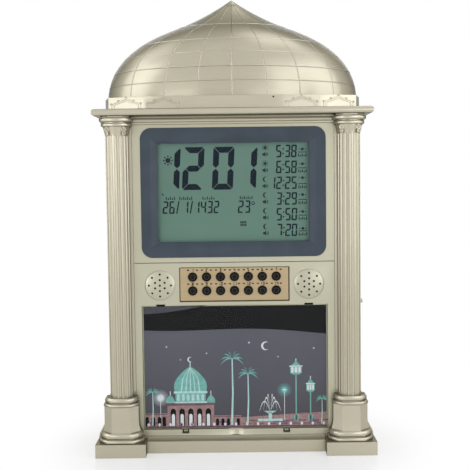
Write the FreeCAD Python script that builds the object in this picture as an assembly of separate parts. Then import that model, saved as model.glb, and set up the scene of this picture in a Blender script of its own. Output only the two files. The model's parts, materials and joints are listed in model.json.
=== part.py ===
import FreeCAD, Part
import math
import os

from FreeCAD import Vector

os.makedirs("parts", exist_ok=True)

# Mosque-shaped table clock, millimetres.  Origin: middle of the footprint on the
# table.  +Z is up, the dial faces -Y, +X is to the right of someone reading it.

# ---- overall ---------------------------------------------------------------
DEPTH = 72.0                  # front of the plinths to the back cover
BACK_Y = DEPTH / 2            # outer face of the back cover
PLINTH_Y = -DEPTH / 2         # front face of the plinths
WALL = 2.4                    # moulded wall
COVER_T = 2.4                 # back cover
SEAM_Y = BACK_Y - COVER_T     # joint between the case and the back cover
FACE_Y = PLINTH_Y + 16.0      # front face of the case and of its two panels
PANEL_BACK_Y = FACE_Y + WALL
FIT = 0.2                     # gap around a panel in its opening
LIP = 2.0                     # ledge behind a panel's edge
MOVE_GAP = 0.3                # gap beside anything that moves
PILOT_EXTRA = 1.0             # screw holes run this much deeper than the screw

# ---- heights of the case, from the table up ---------------------------------
FLOOR_T = 2.4
PLINTH_H = 9.6
BASE_FRONT_Z = 8.5            # top of the low step between the plinths
BASE_FRONT_D = 6.0            # how far that step stands in front of the face
BASE_LIP = 1.0                # sloping lip on the step's front edge
BASE_LIP_RISE = 0.4
BASE_WALL = 1.6               # roof of the hollow behind the step
COVE_GAP = 0.4                # the cove stops this far below the panel
COVE_SETBACK = 0.3
COVE_MIDDLE_D = 2.2           # middle of the cove: in front of the face, above the step
COVE_MIDDLE_RISE = 0.9
PANEL_Z0 = BASE_FRONT_Z + 2.5
WELL_Z0 = PANEL_Z0 + 4.6      # window for the picture
WELL_Z1 = WELL_Z0 + 91.0
PLATE_Z0 = WELL_Z1 + 2.6      # key plate
PLATE_Z1 = PLATE_Z0 + 24.8
PANEL_SPLIT_Z = PLATE_Z1 + 3.6
BEZEL_Z0 = PANEL_SPLIT_Z + 3.8
BEZEL_Z1 = BEZEL_Z0 + 92.8
PANEL_Z1 = BEZEL_Z1 + 2.6
CORNICE_Z0 = PANEL_Z1 + 5.5
CORNICE_T = 4.8
CORNICE_Z1 = CORNICE_Z0 + CORNICE_T
PARAPET_H = 8.8
DOME_Z0 = CORNICE_Z1 + PARAPET_H
DOME_H = 78.9

# ---- widths of the case, from the panels outwards -----------------------------
PANEL_HALF = 72.4
COLUMN_X = PANEL_HALF + 10.0
PLINTH_HALF = 18.0
BODY_HALF = COLUMN_X + 8.6
FOOT_HALF = COLUMN_X + PLINTH_HALF - 0.4   # case side at the table, level with the plinths
WAIST_HALF = COLUMN_X + 12.4  # case side beside the pedestals
WAIST_RING_HALF = WAIST_HALF + 0.8
NECK_HALF = COLUMN_X + 10.2   # string courses beside the capitals
NECK_RING_HALF = NECK_HALF + 1.8
CORNICE_HALF = COLUMN_X + 16.2
CORNICE_FRONT_Y = PLINTH_Y + 2.0
CORNICE_ROUND = 2.1
UNDER_ROLL_R = 1.5            # half-round roll under the cornice
UNDER_ROLL_DROP = 2.65        # its centre below the cornice

# ---- columns ----------------------------------------------------------------
COLUMN_AXIS_Y = FACE_Y - 2.0
SHAFT_R = 8.0
FLUTE_R = 1.05
FLUTE_OUT = 0.3               # flute centre outside the shaft's surface
FLUTE_STEP_DEG = 24.0
FLUTES_EACH_SIDE = 3
PEDESTAL_Z0 = PLINTH_H + 7.2
PEDESTAL_Z1 = PEDESTAL_Z0 + 18.6
PEDESTAL_HALF = 12.3
PEDESTAL_OUT = 12.6           # how far its front stands off the case
PEDESTAL_CHAMFER = 5.9
PEDESTAL_FLARE = 1.4
PEDESTAL_FLARE_H = 8.0
PEDESTAL_FLARE_OUT = 0.3      # the foot flares less to the front than to the sides
PEDESTAL_FLARE_POWER = 2.2    # how sharply the flare turns out at the bottom
FLARE_STEPS = 5
SHAFT_Z0 = PEDESTAL_Z1 + 6.4
BELL_Z1 = CORNICE_Z0 - 7.5
SHAFT_Z1 = BELL_Z1 - 6.2
BELL_R = 9.4
# bands of a column: bottom, top, half width, stand-off, chamfer
BASE_BANDS = (
    (PLINTH_H, PLINTH_H + 2.7, 16.0, 15.2, 6.6),
    (PLINTH_H + 2.9, PEDESTAL_Z0, 15.0, 14.4, 6.2),
    (PEDESTAL_Z1, PEDESTAL_Z1 + 2.3, 12.6, 13.0, 5.6),
    (PEDESTAL_Z1 + 2.6, SHAFT_Z0, 11.6, 12.2, 5.0),
)
CAPITAL_BANDS = (
    (BELL_Z1, CORNICE_Z0 - 4.7, 10.4, 11.9, 4.6),
    (CORNICE_Z0 - 4.2, CORNICE_Z0 - 1.1, 11.6, 13.0, 5.0),
)
FLARE_TOP_Z = PEDESTAL_Z0 + 8.3   # where the case's sides stop flaring out to the foot
WAIST_TOP_Z = PEDESTAL_Z1 - 2.0
WAIST_RING_RISE = 2.0
SHOULDER_Z = SHAFT_Z0 + 0.4
BAND_GAP = 0.8                # how far the dark grooves between bands are set in
BAND_ROUND = 0.42             # band rounding as a share of its height
SHAFT_LAP = 0.5               # the shaft runs this far into what is above and below
VOLUTES = ((6.0, 1.8, 2.0), (6.3, 1.2, 4.6))   # scrolls: x, radius, centre below the band
VOLUTE_OUT = 1.0
VOLUTE_EYE = 0.55             # eye and boss as shares of the scroll's radius
VOLUTE_BOSS = 0.25
VOLUTE_EYE_DEPTH = 0.4
PEG_R = 2.0                   # pegs that hold a column on the case
PEG_L = 4.6
PEG_HOLE_GAP = 0.1
PEG_Z = (SHAFT_Z0 + 17.4, PLATE_Z0 + 5.8, SHAFT_Z1 - 13.0)   # clear of the screw bosses

# ---- parapet and dome ---------------------------------------------------------
# right half of the parapet's plan: x, distance behind the cornice front
PARAPET_PLAN = (
    (CORNICE_HALF - 63.4, 4.0), (CORNICE_HALF - 36.3, 6.4), (CORNICE_HALF - 10.6, 13.0),
    (CORNICE_HALF - 5.6, 33.0), (CORNICE_HALF - 3.6, DEPTH - 4.4),
)
PARAPET_WALL = 2.2
ARCH_HALF = 11.3
ARCH_EAVES = 3.3
ARCH_RISE = 4.3
ARCH_LINE = 0.7
ARCH_OUT = 0.35
ARCH_INSET = 1.8              # between the two nested arches
ARCH_COUNT = 2
ARCH_FOOT = 0.5               # above the parapet's foot
ARCH_EAVES_SHRINK = 0.54      # how much lower the inner arch is
ARCH_RISE_SHRINK = 0.8
ARCH_POINT_LINE = 1.15        # the line is thicker at the point
SENSOR_HOLE_R = 0.6
SENSOR_X = 28.8
SENSOR_DROP = 1.4             # below the parapet's top
DOME_HALF = CORNICE_HALF - 2.8
DOME_REACH = SEAM_Y - CORNICE_FRONT_Y - 7.2   # from the joint with the back cover to the front
DOME_WALL = 2.4
DOME_SHOULDER = 0.283 * DOME_H    # upright run of the profile's handle
NECK_R = 0.502 * DOME_HALF    # where the bulge turns into the concave neck
NECK_H = 0.686 * DOME_H
NECK_SLOPE_DEG = 20.5
BULGE_HANDLE = 0.478 * DOME_H
NECK_HANDLE = 0.27 * DOME_H
TIP_HANDLE_R = 0.149 * DOME_HALF
TIP_HANDLE_H = 0.124 * DOME_H
RIB_DEPTH = 0.45              # panel lines let into the dome
RIB_W = 0.6
RIB_TOP_GAP = 4.0             # the upright lines stop this far below the tip
RIB_ANGLES = (0.0, 22.6, 43.0, 62.6)   # seen from above
RING_SHARES = (0.143, 0.272, 0.412, 0.542, 0.716)   # level panel lines, in dome heights
TIP_THICKER = 1.3             # wall at the tip as a multiple of the wall elsewhere
BLADE_OUT = 1.5               # how far a groove's blade stands out of the dome
RING_SPARE_DEG = 2            # a ring's tool turns this much past the flat back, each end
BISECTIONS = 40

# ---- display --------------------------------------------------------------------
BEZEL_HALF = PANEL_HALF - 6.2
BEZEL_CORNER = 7.8
BEZEL_PROUD = 0.5
BEZEL_RIM = 6.2               # flat rim before the slope
BEZEL_SINK = 2.4              # how far the slope falls
BEZEL_FLANGE = 1.9
BEZEL_FLANGE_T = 1.3
VIEW_HALF = BEZEL_HALF - 11.6
VIEW_Z0 = BEZEL_Z0 + 10.9
VIEW_Z1 = BEZEL_Z1 - 10.9
VIEW_CORNER = 1.2
WINDOW_T = 1.0
WINDOW_LAP = 2.2
WINDOW_AIR = 0.4              # between the window and the display glass
LCD_T = 2.4
LCD_LAP_X = 2.2
LCD_LAP_Z = 4.2
BACKLIGHT_T = 2.0
BACKLIGHT_MARGIN = 1.0
ZEBRA_T = 2.4
ZEBRA_HALF = VIEW_HALF - 4.6
ZEBRA_MARGIN = 0.4            # rubber strip above the rear glass's lower edge
LCD_STEP_GAP = 0.2            # front glass above the rubber strip
HOLDER_WALL = 1.6
BOARD_T = 1.6
BOARD_GAP = 3.8               # display glass to the main board
BOARD_POST_R = 2.1
BOARD_MARGIN = 2.2
# parts on the back of the main board: x0, x1, z0, z1 from its middle, height
BOARD_BLOCKS = (
    (-8.0, 8.0, -8.0, 8.0, 1.8),
    (24.0, 34.0, -4.0, 2.0, 1.6),
    (-24.0, -20.0, -5.0, 6.0, 2.4),
)
PLUG_XS = (-36.0, 0.0, 36.0)
PLUG_HALF = 5.0
PLUG_DEPTH = 5.0
PLUG_UP = 6.0                 # above the display glass's lower edge
CAPACITOR_XS = (20.0, 30.0, 40.0)
CAPACITOR_R = 3.2
CAPACITOR_H = 8.0
CAPACITOR_UP = 20.0

# ---- keys ---------------------------------------------------------------------
PLATE_T = 0.8
PLATE_SINK = 0.3
PLATE_CORNER = 0.8
KEY_PITCH = PANEL_HALF / 7.204
KEY_COLUMNS = 7
PLATE_HALF = KEY_PITCH * (KEY_COLUMNS - 1) / 2 + 9.45
KEY_ROWS_Z = (PLATE_Z1 - 6.9, PLATE_Z1 - 6.9 - KEY_PITCH)
KEY_R = 3.1
KEY_HOLE_R = KEY_R + MOVE_GAP
KEY_PROUD = 1.3
KEY_ROUND = 0.35
KEY_RING_W = 0.75
KEY_RING_DEPTH = 0.35
KEY_FLANGE_R = 4.2
KEY_FLANGE_T = 0.9
KEY_STEM_R = 1.5
KEY_TRAVEL = 0.5
SWITCH_SIZE = 6.0
SWITCH_H = 2.2
SWITCH_GAP = KEY_TRAVEL + 0.25
KEY_STEM_L = 0.9
KEY_WINDOW_MARGIN = KEY_FLANGE_R + 0.5
KEY_BOARD_MARGIN = 1.0
KEY_POST_R = 1.8

# ---- speakers -------------------------------------------------------------------
SPEAKER_X = 0.742 * PANEL_HALF
SPEAKER_Z = (PLATE_Z0 + PLATE_Z1) / 2 - 0.2
GRILLE_R = 0.145 * PANEL_HALF
GRILLE_RISE = 0.6
GRILLE_HOLE_R = 0.65
GRILLE_HOLES = (6, 8)         # holes in each ring, from the middle out
GRILLE_RING_R = (0.377 * GRILLE_R, 0.757 * GRILLE_R)
SPEAKER_R = GRILLE_R + 1.3
SPEAKER_RIM_T = 1.4
SPEAKER_DEPTH = 5.2
MAGNET_R = SPEAKER_R - 5.2
MAGNET_T = 4.2
MAGNET_SKIRT = 1.5            # the basket is this much wider than the magnet
MAGNET_FLOOR = 0.8
MAGNET_FLOOR_IN = 0.6
CONE_R = SPEAKER_R - 1.6
CONE_T = 0.6
CONE_GAP = 0.3                # between the cone's rim and the basket
CONE_RISE = 2.4               # cone's bottom above the basket's
CONE_SURROUND = 1.6
CONE_CAP_R = 4.0
CONE_SLANT = 0.2

# ---- picture window -----------------------------------------------------------
WELL_HALF = PANEL_HALF - 5.2
WELL_DEPTH = 2.2
WELL_FLOOR_T = 1.6
WELL_WALL = 1.6
TUB_LAP = 0.5                 # the tub starts this far behind the panel's face
TUB_MARGIN = 0.3
CARD_T = 0.3
CARD_MARGIN = 1.0
COVER_PLATE_T = 1.5
COVER_TOP_GAP = 0.6
TAB_X = WELL_HALF - 13.6
TAB_HALF = 2.8
TAB_T = 0.7
TAB_UP = 1.9
TAB_BEAD_R = 0.45             # round bead that a tab turns on
COVER_AXIS_Z = WELL_Z1 + 0.3
TAB_SLOT_HALF = 3.3
TAB_SLOT_UP = 2.5
TAB_LIP_T = 0.5
TAB_LIP_UP = 0.9
SNAP_X = WELL_HALF - 30.4
SNAP_HALF = 1.5
SNAP_DOWN = 1.5
SNAP_SLOT_HALF = 2.5
SNAP_SLOT_DOWN = 3.0
THUMB_R = 6.2
THUMB_DEPTH = 1.7

# ---- back cover, battery compartment --------------------------------------------
CELL_R = 7.1
CELL_L = 49.8
CELL_NIPPLE_R = 2.6
CELL_NIPPLE_L = 1.0
CELL_COUNT = 3
CELL_PITCH = 15.0
BAY_Z0 = 36.0
BAY_WALL = 1.6
BAY_END = 2.2                 # room for a contact at each end of a cell
BAY_TOP_ROOM = 5.5            # room for the door's hooks to turn
CONTACT_T = 0.5
CONTACT_HALF = 4.6
LEAF_HALF = 1.5
LEAF_RISE = 3.0
LEAF_GAP = 0.1
CELL_SINK = 0.9               # cells behind the case joint
BAY_HALF = CELL_L / 2 + CELL_NIPPLE_L + BAY_END
BAY_Z1 = BAY_Z0 + (CELL_COUNT - 1) * CELL_PITCH + 2 * CELL_R + BAY_TOP_ROOM
CELL_Y = SEAM_Y - CELL_SINK - CELL_R
BAY_FLOOR_Y = CELL_Y - CELL_R - MOVE_GAP
DOOR_T = 1.5
DOOR_GAP = 0.4
DOOR_TOP_GAP = 0.8
DOOR_HOOK_X = 16.0
DOOR_HOOK_HALF = 3.0
DOOR_HOOK_UP = 2.6
DOOR_HOOK_T = 1.0
DOOR_HOOK_ARM = (2.4, 1.2)    # arm's bottom and top below the door's upper edge
DOOR_HOOK_ROOM = 3.0          # the cover reaches this far below the bay's roof, over the hooks
DOOR_PULL_R = 6.0
DOOR_PULL_DEPTH = 0.9
DOOR_PULL_UP = 2.0
DOOR_LEDGE = 1.0

# ---- fasteners ----------------------------------------------------------------
BOSS_R = 3.6
SCREW_R = 1.4
SCREW_HOLE_GAP = 0.05
SCREW_FREE_GAP = 0.3          # round the shank where the cover is clamped
SCREW_HEAD_R = 2.7
SCREW_HEAD_T = 1.3
SCREW_WELL_R = 3.3
SCREW_WELL_DEPTH = 1.4
SCREW_L = 11.0
SCREW_SLOT_W = 0.8
SCREW_SLOT_D = 0.7
SCREW_CROSS = 0.6             # half length of the cross as a share of the head's radius
CASE_BOSSES = (
    (COLUMN_X - 0.4, FLARE_TOP_Z + 4.0), (COLUMN_X - 0.4, PANEL_SPLIT_Z - 2.6),
    (COLUMN_X - 0.4, CORNICE_Z0 - 13.3),
)
DOME_BOSSES = ((DOME_HALF - 37.8, DOME_Z0 + 18.1),)
BOARD_SCREW_R = 1.0
BOARD_SCREW_L = 4.0
BOARD_SCREW_HEAD_R = 2.0
BOARD_SCREW_HEAD_T = 1.2
KEY_SCREW_L = 2.4

# ---- side button --------------------------------------------------------------
SIDE_Y = -8.0
SIDE_Z = WELL_Z1 + 0.4
SIDE_R = 1.5
SIDE_PROUD = 3.0
SIDE_ROUND = 0.5
SIDE_TRAVEL = 0.8
SIDE_FLANGE_R = 2.5
SIDE_FLANGE_T = 1.2
SIDE_STEM_L = 1.0
SIDE_SWITCH = 6.0
SIDE_SWITCH_L = 4.0
SIDE_GAP = SIDE_TRAVEL + 0.2
SIDE_RIB_T = 2.0

EPS = 0.01
CUT = 1.0                     # how far a cutting tool runs past the face it cuts
REACH = 400.0                 # longer than any piece, for cutting away half spaces


# ============================ small helpers ============================================
def box(x0, x1, y0, y1, z0, z1):
    return Part.makeBox(x1 - x0, y1 - y0, z1 - z0, Vector(x0, y0, z0))


def rod_y(x, z, radius, y0, y1):
    return Part.makeCylinder(radius, y1 - y0, Vector(x, y0, z), Vector(0, 1, 0))


def rod_x(y, z, radius, x0, x1):
    return Part.makeCylinder(radius, x1 - x0, Vector(x0, y, z), Vector(1, 0, 0))


def rod_z(x, y, radius, z0, z1):
    return Part.makeCylinder(radius, z1 - z0, Vector(x, y, z0), Vector(0, 0, 1))


def closed_wire(points):
    return Part.makePolygon(list(points) + [points[0]])


def polygon_face(points):
    return Part.Face(closed_wire(points))


def join(shapes):
    shapes = list(shapes)
    if len(shapes) == 1:
        return shapes[0]
    return shapes[0].multiFuse(shapes[1:]).removeSplitter()


def minus(shape, *tools):
    return shape.cut(list(tools))


def rounded_slab(half, z0, z1, corner, y0, y1, cx=0.0):
    """Upright plate with rounded corners, from y0 back to y1."""
    plate = box(cx - half, cx + half, y0, y1, z0, z1)
    upright = [e for e in plate.Edges if abs(e.Vertexes[0].Y - e.Vertexes[1].Y) > EPS]
    return plate.makeFillet(corner, upright)


def mirrored(shape):
    return shape.mirror(Vector(0, 0, 0), Vector(1, 0, 0))


def bezier(*points):
    curve = Part.BezierCurve()
    curve.setPoles(list(points))
    return curve.toShape()


def save(name, shape):
    if not shape.isValid():
        print("invalid shape:", name)
    shape.exportStep("parts/" + name + ".step")


# ============================ case ======================================================
def case_side(inset, z0, z1):
    """Edges up the right side of the case, moved in by inset, in the plane y = 0."""
    foot = FOOT_HALF - inset
    waist = WAIST_HALF - inset
    body = BODY_HALF - inset
    neck = NECK_HALF - inset
    ring_z = CAPITAL_BANDS[1][0]
    handle = (FLARE_TOP_Z - PLINTH_H) / 2
    flare = bezier(Vector(foot, 0, PLINTH_H), Vector(foot, 0, PLINTH_H + handle),
                   Vector(waist, 0, FLARE_TOP_Z - handle), Vector(waist, 0, FLARE_TOP_Z))
    corners = [(waist, FLARE_TOP_Z), (waist, WAIST_TOP_Z),
               (WAIST_RING_HALF - inset, WAIST_TOP_Z + WAIST_RING_RISE), (body, SHOULDER_Z),
               (body, SHAFT_Z1), (neck, BELL_Z1), (neck, ring_z),
               (NECK_RING_HALF - inset, ring_z), (NECK_RING_HALF - inset, z1)]
    low = Part.makeLine(Vector(foot, 0, z0), Vector(foot, 0, PLINTH_H))
    high = Part.makePolygon([Vector(x, 0, z) for x, z in corners])
    return [low, flare] + high.Edges


def case_outline(inset, z0, z1, y):
    """Right half of the case seen from the front."""
    closing = Part.makePolygon([Vector(NECK_RING_HALF - inset, 0, z1), Vector(0, 0, z1),
                                Vector(0, 0, z0), Vector(FOOT_HALF - inset, 0, z0)])
    face = Part.Face(Part.Wire(case_side(inset, z0, z1) + closing.Edges))
    face.translate(Vector(0, y, 0))
    return face


def case_block(inset, y0, y1, z0, z1):
    half = case_outline(inset, z0, z1, y0).extrude(Vector(0, y1 - y0, 0))
    return join([half, mirrored(half)])


def cornice_slab():
    slab = box(-CORNICE_HALF, CORNICE_HALF, CORNICE_FRONT_Y, SEAM_Y, CORNICE_Z0, CORNICE_Z1)
    rim = []
    for edge in slab.Edges:
        a, b = edge.Vertexes[0].Point, edge.Vertexes[1].Point
        level = abs(a.z - b.z) < EPS
        at_back = abs(a.y - SEAM_Y) < EPS and abs(b.y - SEAM_Y) < EPS
        if level and not at_back:
            rim.append(edge)
    return slab.makeFillet(CORNICE_ROUND, rim)


def base_step():
    """Low step between the plinths with the cove that leads up to the panel."""
    front = FACE_Y - BASE_FRONT_D
    inside = FACE_Y + CUT
    top = PANEL_Z0 - COVE_GAP
    lip = Vector(0, front + BASE_LIP, BASE_FRONT_Z + BASE_LIP_RISE)
    crown = Vector(0, FACE_Y - COVE_SETBACK, top)
    cove = Part.Arc(lip, Vector(0, FACE_Y - COVE_MIDDLE_D, BASE_FRONT_Z + COVE_MIDDLE_RISE),
                    crown).toShape()
    start = Part.makePolygon([Vector(0, inside, 0), Vector(0, front, 0),
                              Vector(0, front, BASE_FRONT_Z), lip])
    end = Part.makePolygon([crown, Vector(0, inside, top), Vector(0, inside, 0)])
    profile = Part.Face(Part.Wire(start.Edges + [cove] + end.Edges))
    half = COLUMN_X - PLINTH_HALF
    profile.translate(Vector(-half, 0, 0))
    return profile.extrude(Vector(2 * half, 0, 0))


def boss_positions(pairs):
    return [(sign * x, z) for x, z in pairs for sign in (-1, 1)]


def screw_hole(x, z):
    return rod_y(x, z, SCREW_R + SCREW_HOLE_GAP, SEAM_Y - SCREW_L - PILOT_EXTRA, SEAM_Y + CUT)


def front_case():
    case = case_block(0.0, FACE_Y, SEAM_Y, 0.0, CORNICE_Z0)
    cavity = case_block(WALL, PANEL_BACK_Y, SEAM_Y + CUT, FLOOR_T, CORNICE_Z0 - WALL)
    roll_half = COLUMN_X - CAPITAL_BANDS[1][2]
    case = join([minus(case, cavity), cornice_slab(), base_step(),
                 rod_x(FACE_Y, CORNICE_Z0 - UNDER_ROLL_DROP, UNDER_ROLL_R, -roll_half, roll_half)])
    ledge = box(-PANEL_HALF - WALL, PANEL_HALF + WALL, PANEL_BACK_Y - EPS,
                PANEL_BACK_Y + WALL, PANEL_Z0 - WALL, PANEL_Z1 + WALL)
    case = join([case, ledge])
    opening = box(-PANEL_HALF, PANEL_HALF, FACE_Y - CUT, PANEL_BACK_Y, PANEL_Z0, PANEL_Z1)
    through = box(-PANEL_HALF + LIP, PANEL_HALF - LIP, FACE_Y, PANEL_BACK_Y + WALL + CUT,
                  PANEL_Z0 + LIP, PANEL_Z1 - LIP)
    step_half = COLUMN_X - PLINTH_HALF - WALL
    step_hollow = box(-step_half, step_half, FACE_Y - BASE_FRONT_D + WALL, PANEL_BACK_Y + CUT,
                      FLOOR_T, BASE_FRONT_Z - BASE_WALL)
    case = minus(case, opening, through, step_hollow)
    posts = []
    holes = []
    for x, z in boss_positions(CASE_BOSSES):
        posts.append(rod_y(x, z, BOSS_R, PANEL_BACK_Y - EPS, SEAM_Y))
        holes.append(screw_hole(x, z))
    rib_x = BODY_HALF - WALL - MOVE_GAP - SIDE_FLANGE_T - SIDE_STEM_L - SIDE_GAP - SIDE_SWITCH_L
    posts.append(box(rib_x - SIDE_RIB_T, rib_x, PANEL_BACK_Y - EPS, SIDE_Y + SIDE_SWITCH,
                     SIDE_Z - SIDE_SWITCH, SIDE_Z + SIDE_SWITCH))
    holes.append(rod_x(SIDE_Y, SIDE_Z, SIDE_R + MOVE_GAP, BODY_HALF - 2 * WALL, BODY_HALF + CUT))
    for sign in (-1, 1):
        for z in PEG_Z:
            holes.append(rod_y(sign * COLUMN_X, z, PEG_R + PEG_HOLE_GAP,
                               FACE_Y - CUT, PANEL_BACK_Y + CUT))
    return minus(join([case] + posts), *holes)


# ============================ columns ======================================================
def pier_plan(half, out, chamfer, z, back_y):
    """Plan of a pier against the case: flat back, chamfered front corners."""
    front = FACE_Y - out
    return [Vector(-half, back_y, z), Vector(-half, front + chamfer, z),
            Vector(-half + chamfer, front, z), Vector(half - chamfer, front, z),
            Vector(half, front + chamfer, z), Vector(half, back_y, z)]


def band(z0, z1, half, out, chamfer):
    """One rounded band that runs round the front of a column."""
    block = polygon_face(pier_plan(half, out, chamfer, z0, FACE_Y)).extrude(Vector(0, 0, z1 - z0))
    rim = []
    for edge in block.Edges:
        a, b = edge.Vertexes[0].Point, edge.Vertexes[1].Point
        level = abs(a.z - b.z) < EPS
        at_back = abs(a.y - FACE_Y) < EPS and abs(b.y - FACE_Y) < EPS
        if level and not at_back:
            rim.append(edge)
    return block.makeFillet((z1 - z0) * BAND_ROUND, rim)


def core(z0, z1, half, out, chamfer):
    return polygon_face(pier_plan(half - BAND_GAP, out - BAND_GAP, chamfer, z0, FACE_Y)).extrude(
        Vector(0, 0, z1 - z0))


def pedestal():
    """Chamfered pier whose foot flares out in a concave sweep."""
    sections = []
    for step in range(FLARE_STEPS + 1):
        share = step / FLARE_STEPS
        grow = PEDESTAL_FLARE * (1.0 - share) ** PEDESTAL_FLARE_POWER
        z = PEDESTAL_Z0 + PEDESTAL_FLARE_H * share
        sections.append(pier_plan(PEDESTAL_HALF + grow, PEDESTAL_OUT + grow * PEDESTAL_FLARE_OUT,
                                  PEDESTAL_CHAMFER + grow, z, FACE_Y))
    sections.append(pier_plan(PEDESTAL_HALF, PEDESTAL_OUT, PEDESTAL_CHAMFER, PEDESTAL_Z1, FACE_Y))
    return Part.makeLoft([closed_wire(points) for points in sections], True, True)


def fluted_shaft():
    z0, z1 = SHAFT_Z0 - SHAFT_LAP, SHAFT_Z1 + SHAFT_LAP
    shaft = rod_z(0, COLUMN_AXIS_Y, SHAFT_R, z0, z1)
    flutes = []
    for index in range(-FLUTES_EACH_SIDE, FLUTES_EACH_SIDE + 1):
        angle = math.radians(index * FLUTE_STEP_DEG)
        reach = SHAFT_R + FLUTE_OUT
        flutes.append(rod_z(reach * math.sin(angle), COLUMN_AXIS_Y - reach * math.cos(angle),
                            FLUTE_R, z0 - CUT, z1 + CUT))
    return minus(shaft, *flutes)


def capital():
    bell = Part.makeCone(SHAFT_R, BELL_R, BELL_Z1 - SHAFT_Z1,
                         Vector(0, COLUMN_AXIS_Y, SHAFT_Z1), Vector(0, 0, 1))
    scrolls = []
    for reach, radius, drop in VOLUTES:
        z = BELL_Z1 - drop
        front = COLUMN_AXIS_Y - math.sqrt(BELL_R ** 2 - reach ** 2) - VOLUTE_OUT
        for x in (-reach, reach):
            scroll = rod_y(x, z, radius, front, FACE_Y)
            eye = rod_y(x, z, radius * VOLUTE_EYE, front - CUT, front + VOLUTE_EYE_DEPTH)
            boss = rod_y(x, z, radius * VOLUTE_BOSS, front, front + 2 * VOLUTE_EYE_DEPTH)
            scrolls.append(join([minus(scroll, eye), boss]))
    return [bell] + scrolls


def column(side):
    pieces = [box(-PLINTH_HALF, PLINTH_HALF, PLINTH_Y, FACE_Y, 0.0, PLINTH_H)]
    pieces += [band(*sizes) for sizes in BASE_BANDS + CAPITAL_BANDS]
    pieces.append(core(PLINTH_H - EPS, PEDESTAL_Z0 + EPS, *BASE_BANDS[1][2:]))
    pieces.append(core(PEDESTAL_Z1 - EPS, SHAFT_Z0, *BASE_BANDS[3][2:]))
    pieces.append(core(BELL_Z1 - EPS, CORNICE_Z0, *CAPITAL_BANDS[0][2:]))
    pieces += [pedestal(), fluted_shaft()] + capital()
    body = join(pieces)
    behind = box(-REACH, REACH, FACE_Y, FACE_Y + REACH, -REACH, REACH)
    body = minus(body, behind)
    pegs = [rod_y(0, z, PEG_R, FACE_Y - CUT, FACE_Y + PEG_L) for z in PEG_Z]
    body = join([body] + pegs)
    body.translate(Vector(side * COLUMN_X, 0, 0))
    return body


# ============================ parapet and dome =================================================
def parapet_points(inset, z):
    """Plan of the parapet, left back corner round the front to the right back one."""
    right = [(x - inset, CORNICE_FRONT_Y + back + inset) for x, back in PARAPET_PLAN[:-1]]
    right.append((PARAPET_PLAN[-1][0] - inset, SEAM_Y))
    left = [(-x, y) for x, y in reversed(right)]
    return [Vector(x, y, z) for x, y in left + right]


def arch_outline(foot, along, half, eaves, rise, shrink):
    """Pointed arch: foot is the middle of its sill, along runs to the right."""
    shape = ((-half + shrink, 0.0), (-half + shrink, eaves),
             (0.0, eaves + rise - shrink * ARCH_POINT_LINE), (half - shrink, eaves),
             (half - shrink, 0.0))
    return polygon_face([foot + along * u + Vector(0, 0, v) for u, v in shape])


def arch_relief(start, end):
    """Nested pointed arches in low relief on one face of the parapet."""
    along = (end - start).normalize()
    out = Vector(along.y, -along.x, 0)
    foot = (start + end) * 0.5 - out * ARCH_OUT
    rings = []
    for nest in range(ARCH_COUNT):
        sizes = (ARCH_HALF - nest * ARCH_INSET, ARCH_EAVES - nest * ARCH_EAVES_SHRINK,
                 ARCH_RISE - nest * ARCH_RISE_SHRINK)
        outer = arch_outline(foot, along, *sizes, 0.0).extrude(out * 2 * ARCH_OUT)
        inner = arch_outline(foot, along, *sizes, ARCH_LINE).extrude(out * 3 * ARCH_OUT)
        rings.append(minus(outer, inner))
    return rings


def parapet():
    z0 = CORNICE_Z1
    outer = polygon_face(parapet_points(0.0, z0)).extrude(Vector(0, 0, PARAPET_H))
    pocket = polygon_face(parapet_points(PARAPET_WALL, z0 - CUT)).extrude(
        Vector(0, 0, PARAPET_H - PARAPET_WALL + CUT))
    pocket_half = PARAPET_PLAN[-1][0] - PARAPET_WALL
    pocket = join([pocket, box(-pocket_half, pocket_half, SEAM_Y - 2 * PARAPET_WALL, SEAM_Y + CUT,
                               z0 - CUT, z0 + PARAPET_H - PARAPET_WALL)])
    band_body = minus(outer, pocket)
    corners = parapet_points(0.0, z0 + ARCH_FOOT)
    count = len(PARAPET_PLAN)
    faces = [(count, count + 1), (count + 1, count + 2)]
    faces += [(2 * count - 1 - b, 2 * count - 1 - a) for a, b in faces]
    reliefs = []
    for a, b in faces:
        reliefs += arch_relief(corners[a], corners[b])
    hole = rod_y(SENSOR_X, z0 + PARAPET_H - SENSOR_DROP, SENSOR_HOLE_R,
                 CORNICE_FRONT_Y, CORNICE_FRONT_Y + REACH)
    return minus(join([band_body] + reliefs), hole)


def ogee_curves(inset, foot_z, squeeze=1.0):
    """Bulge and neck of the dome's half profile, moved in by inset, from the foot up.

    squeeze scales it towards the axis, for a plane in which the dome reaches less far.
    """
    slope = math.radians(NECK_SLOPE_DEG)
    run = Vector(-math.cos(slope), 0, math.sin(slope))
    normal = Vector(math.sin(slope), 0, math.cos(slope))
    base = Vector(DOME_HALF - inset, 0, foot_z)
    neck = Vector(NECK_R, 0, DOME_Z0 + NECK_H) - normal * inset
    tip = Vector(0, 0, DOME_Z0 + DOME_H - inset * TIP_THICKER)
    poles = [base, Vector(base.x, 0, DOME_Z0 + DOME_SHOULDER), neck - run * BULGE_HANDLE, neck,
             neck + run * NECK_HANDLE, Vector(TIP_HANDLE_R, 0, tip.z - TIP_HANDLE_H), tip]
    poles = [Vector(p.x * squeeze, 0, p.z) for p in poles]
    return bezier(*poles[:4]), bezier(*poles[3:]), poles[0], poles[-1]


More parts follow.
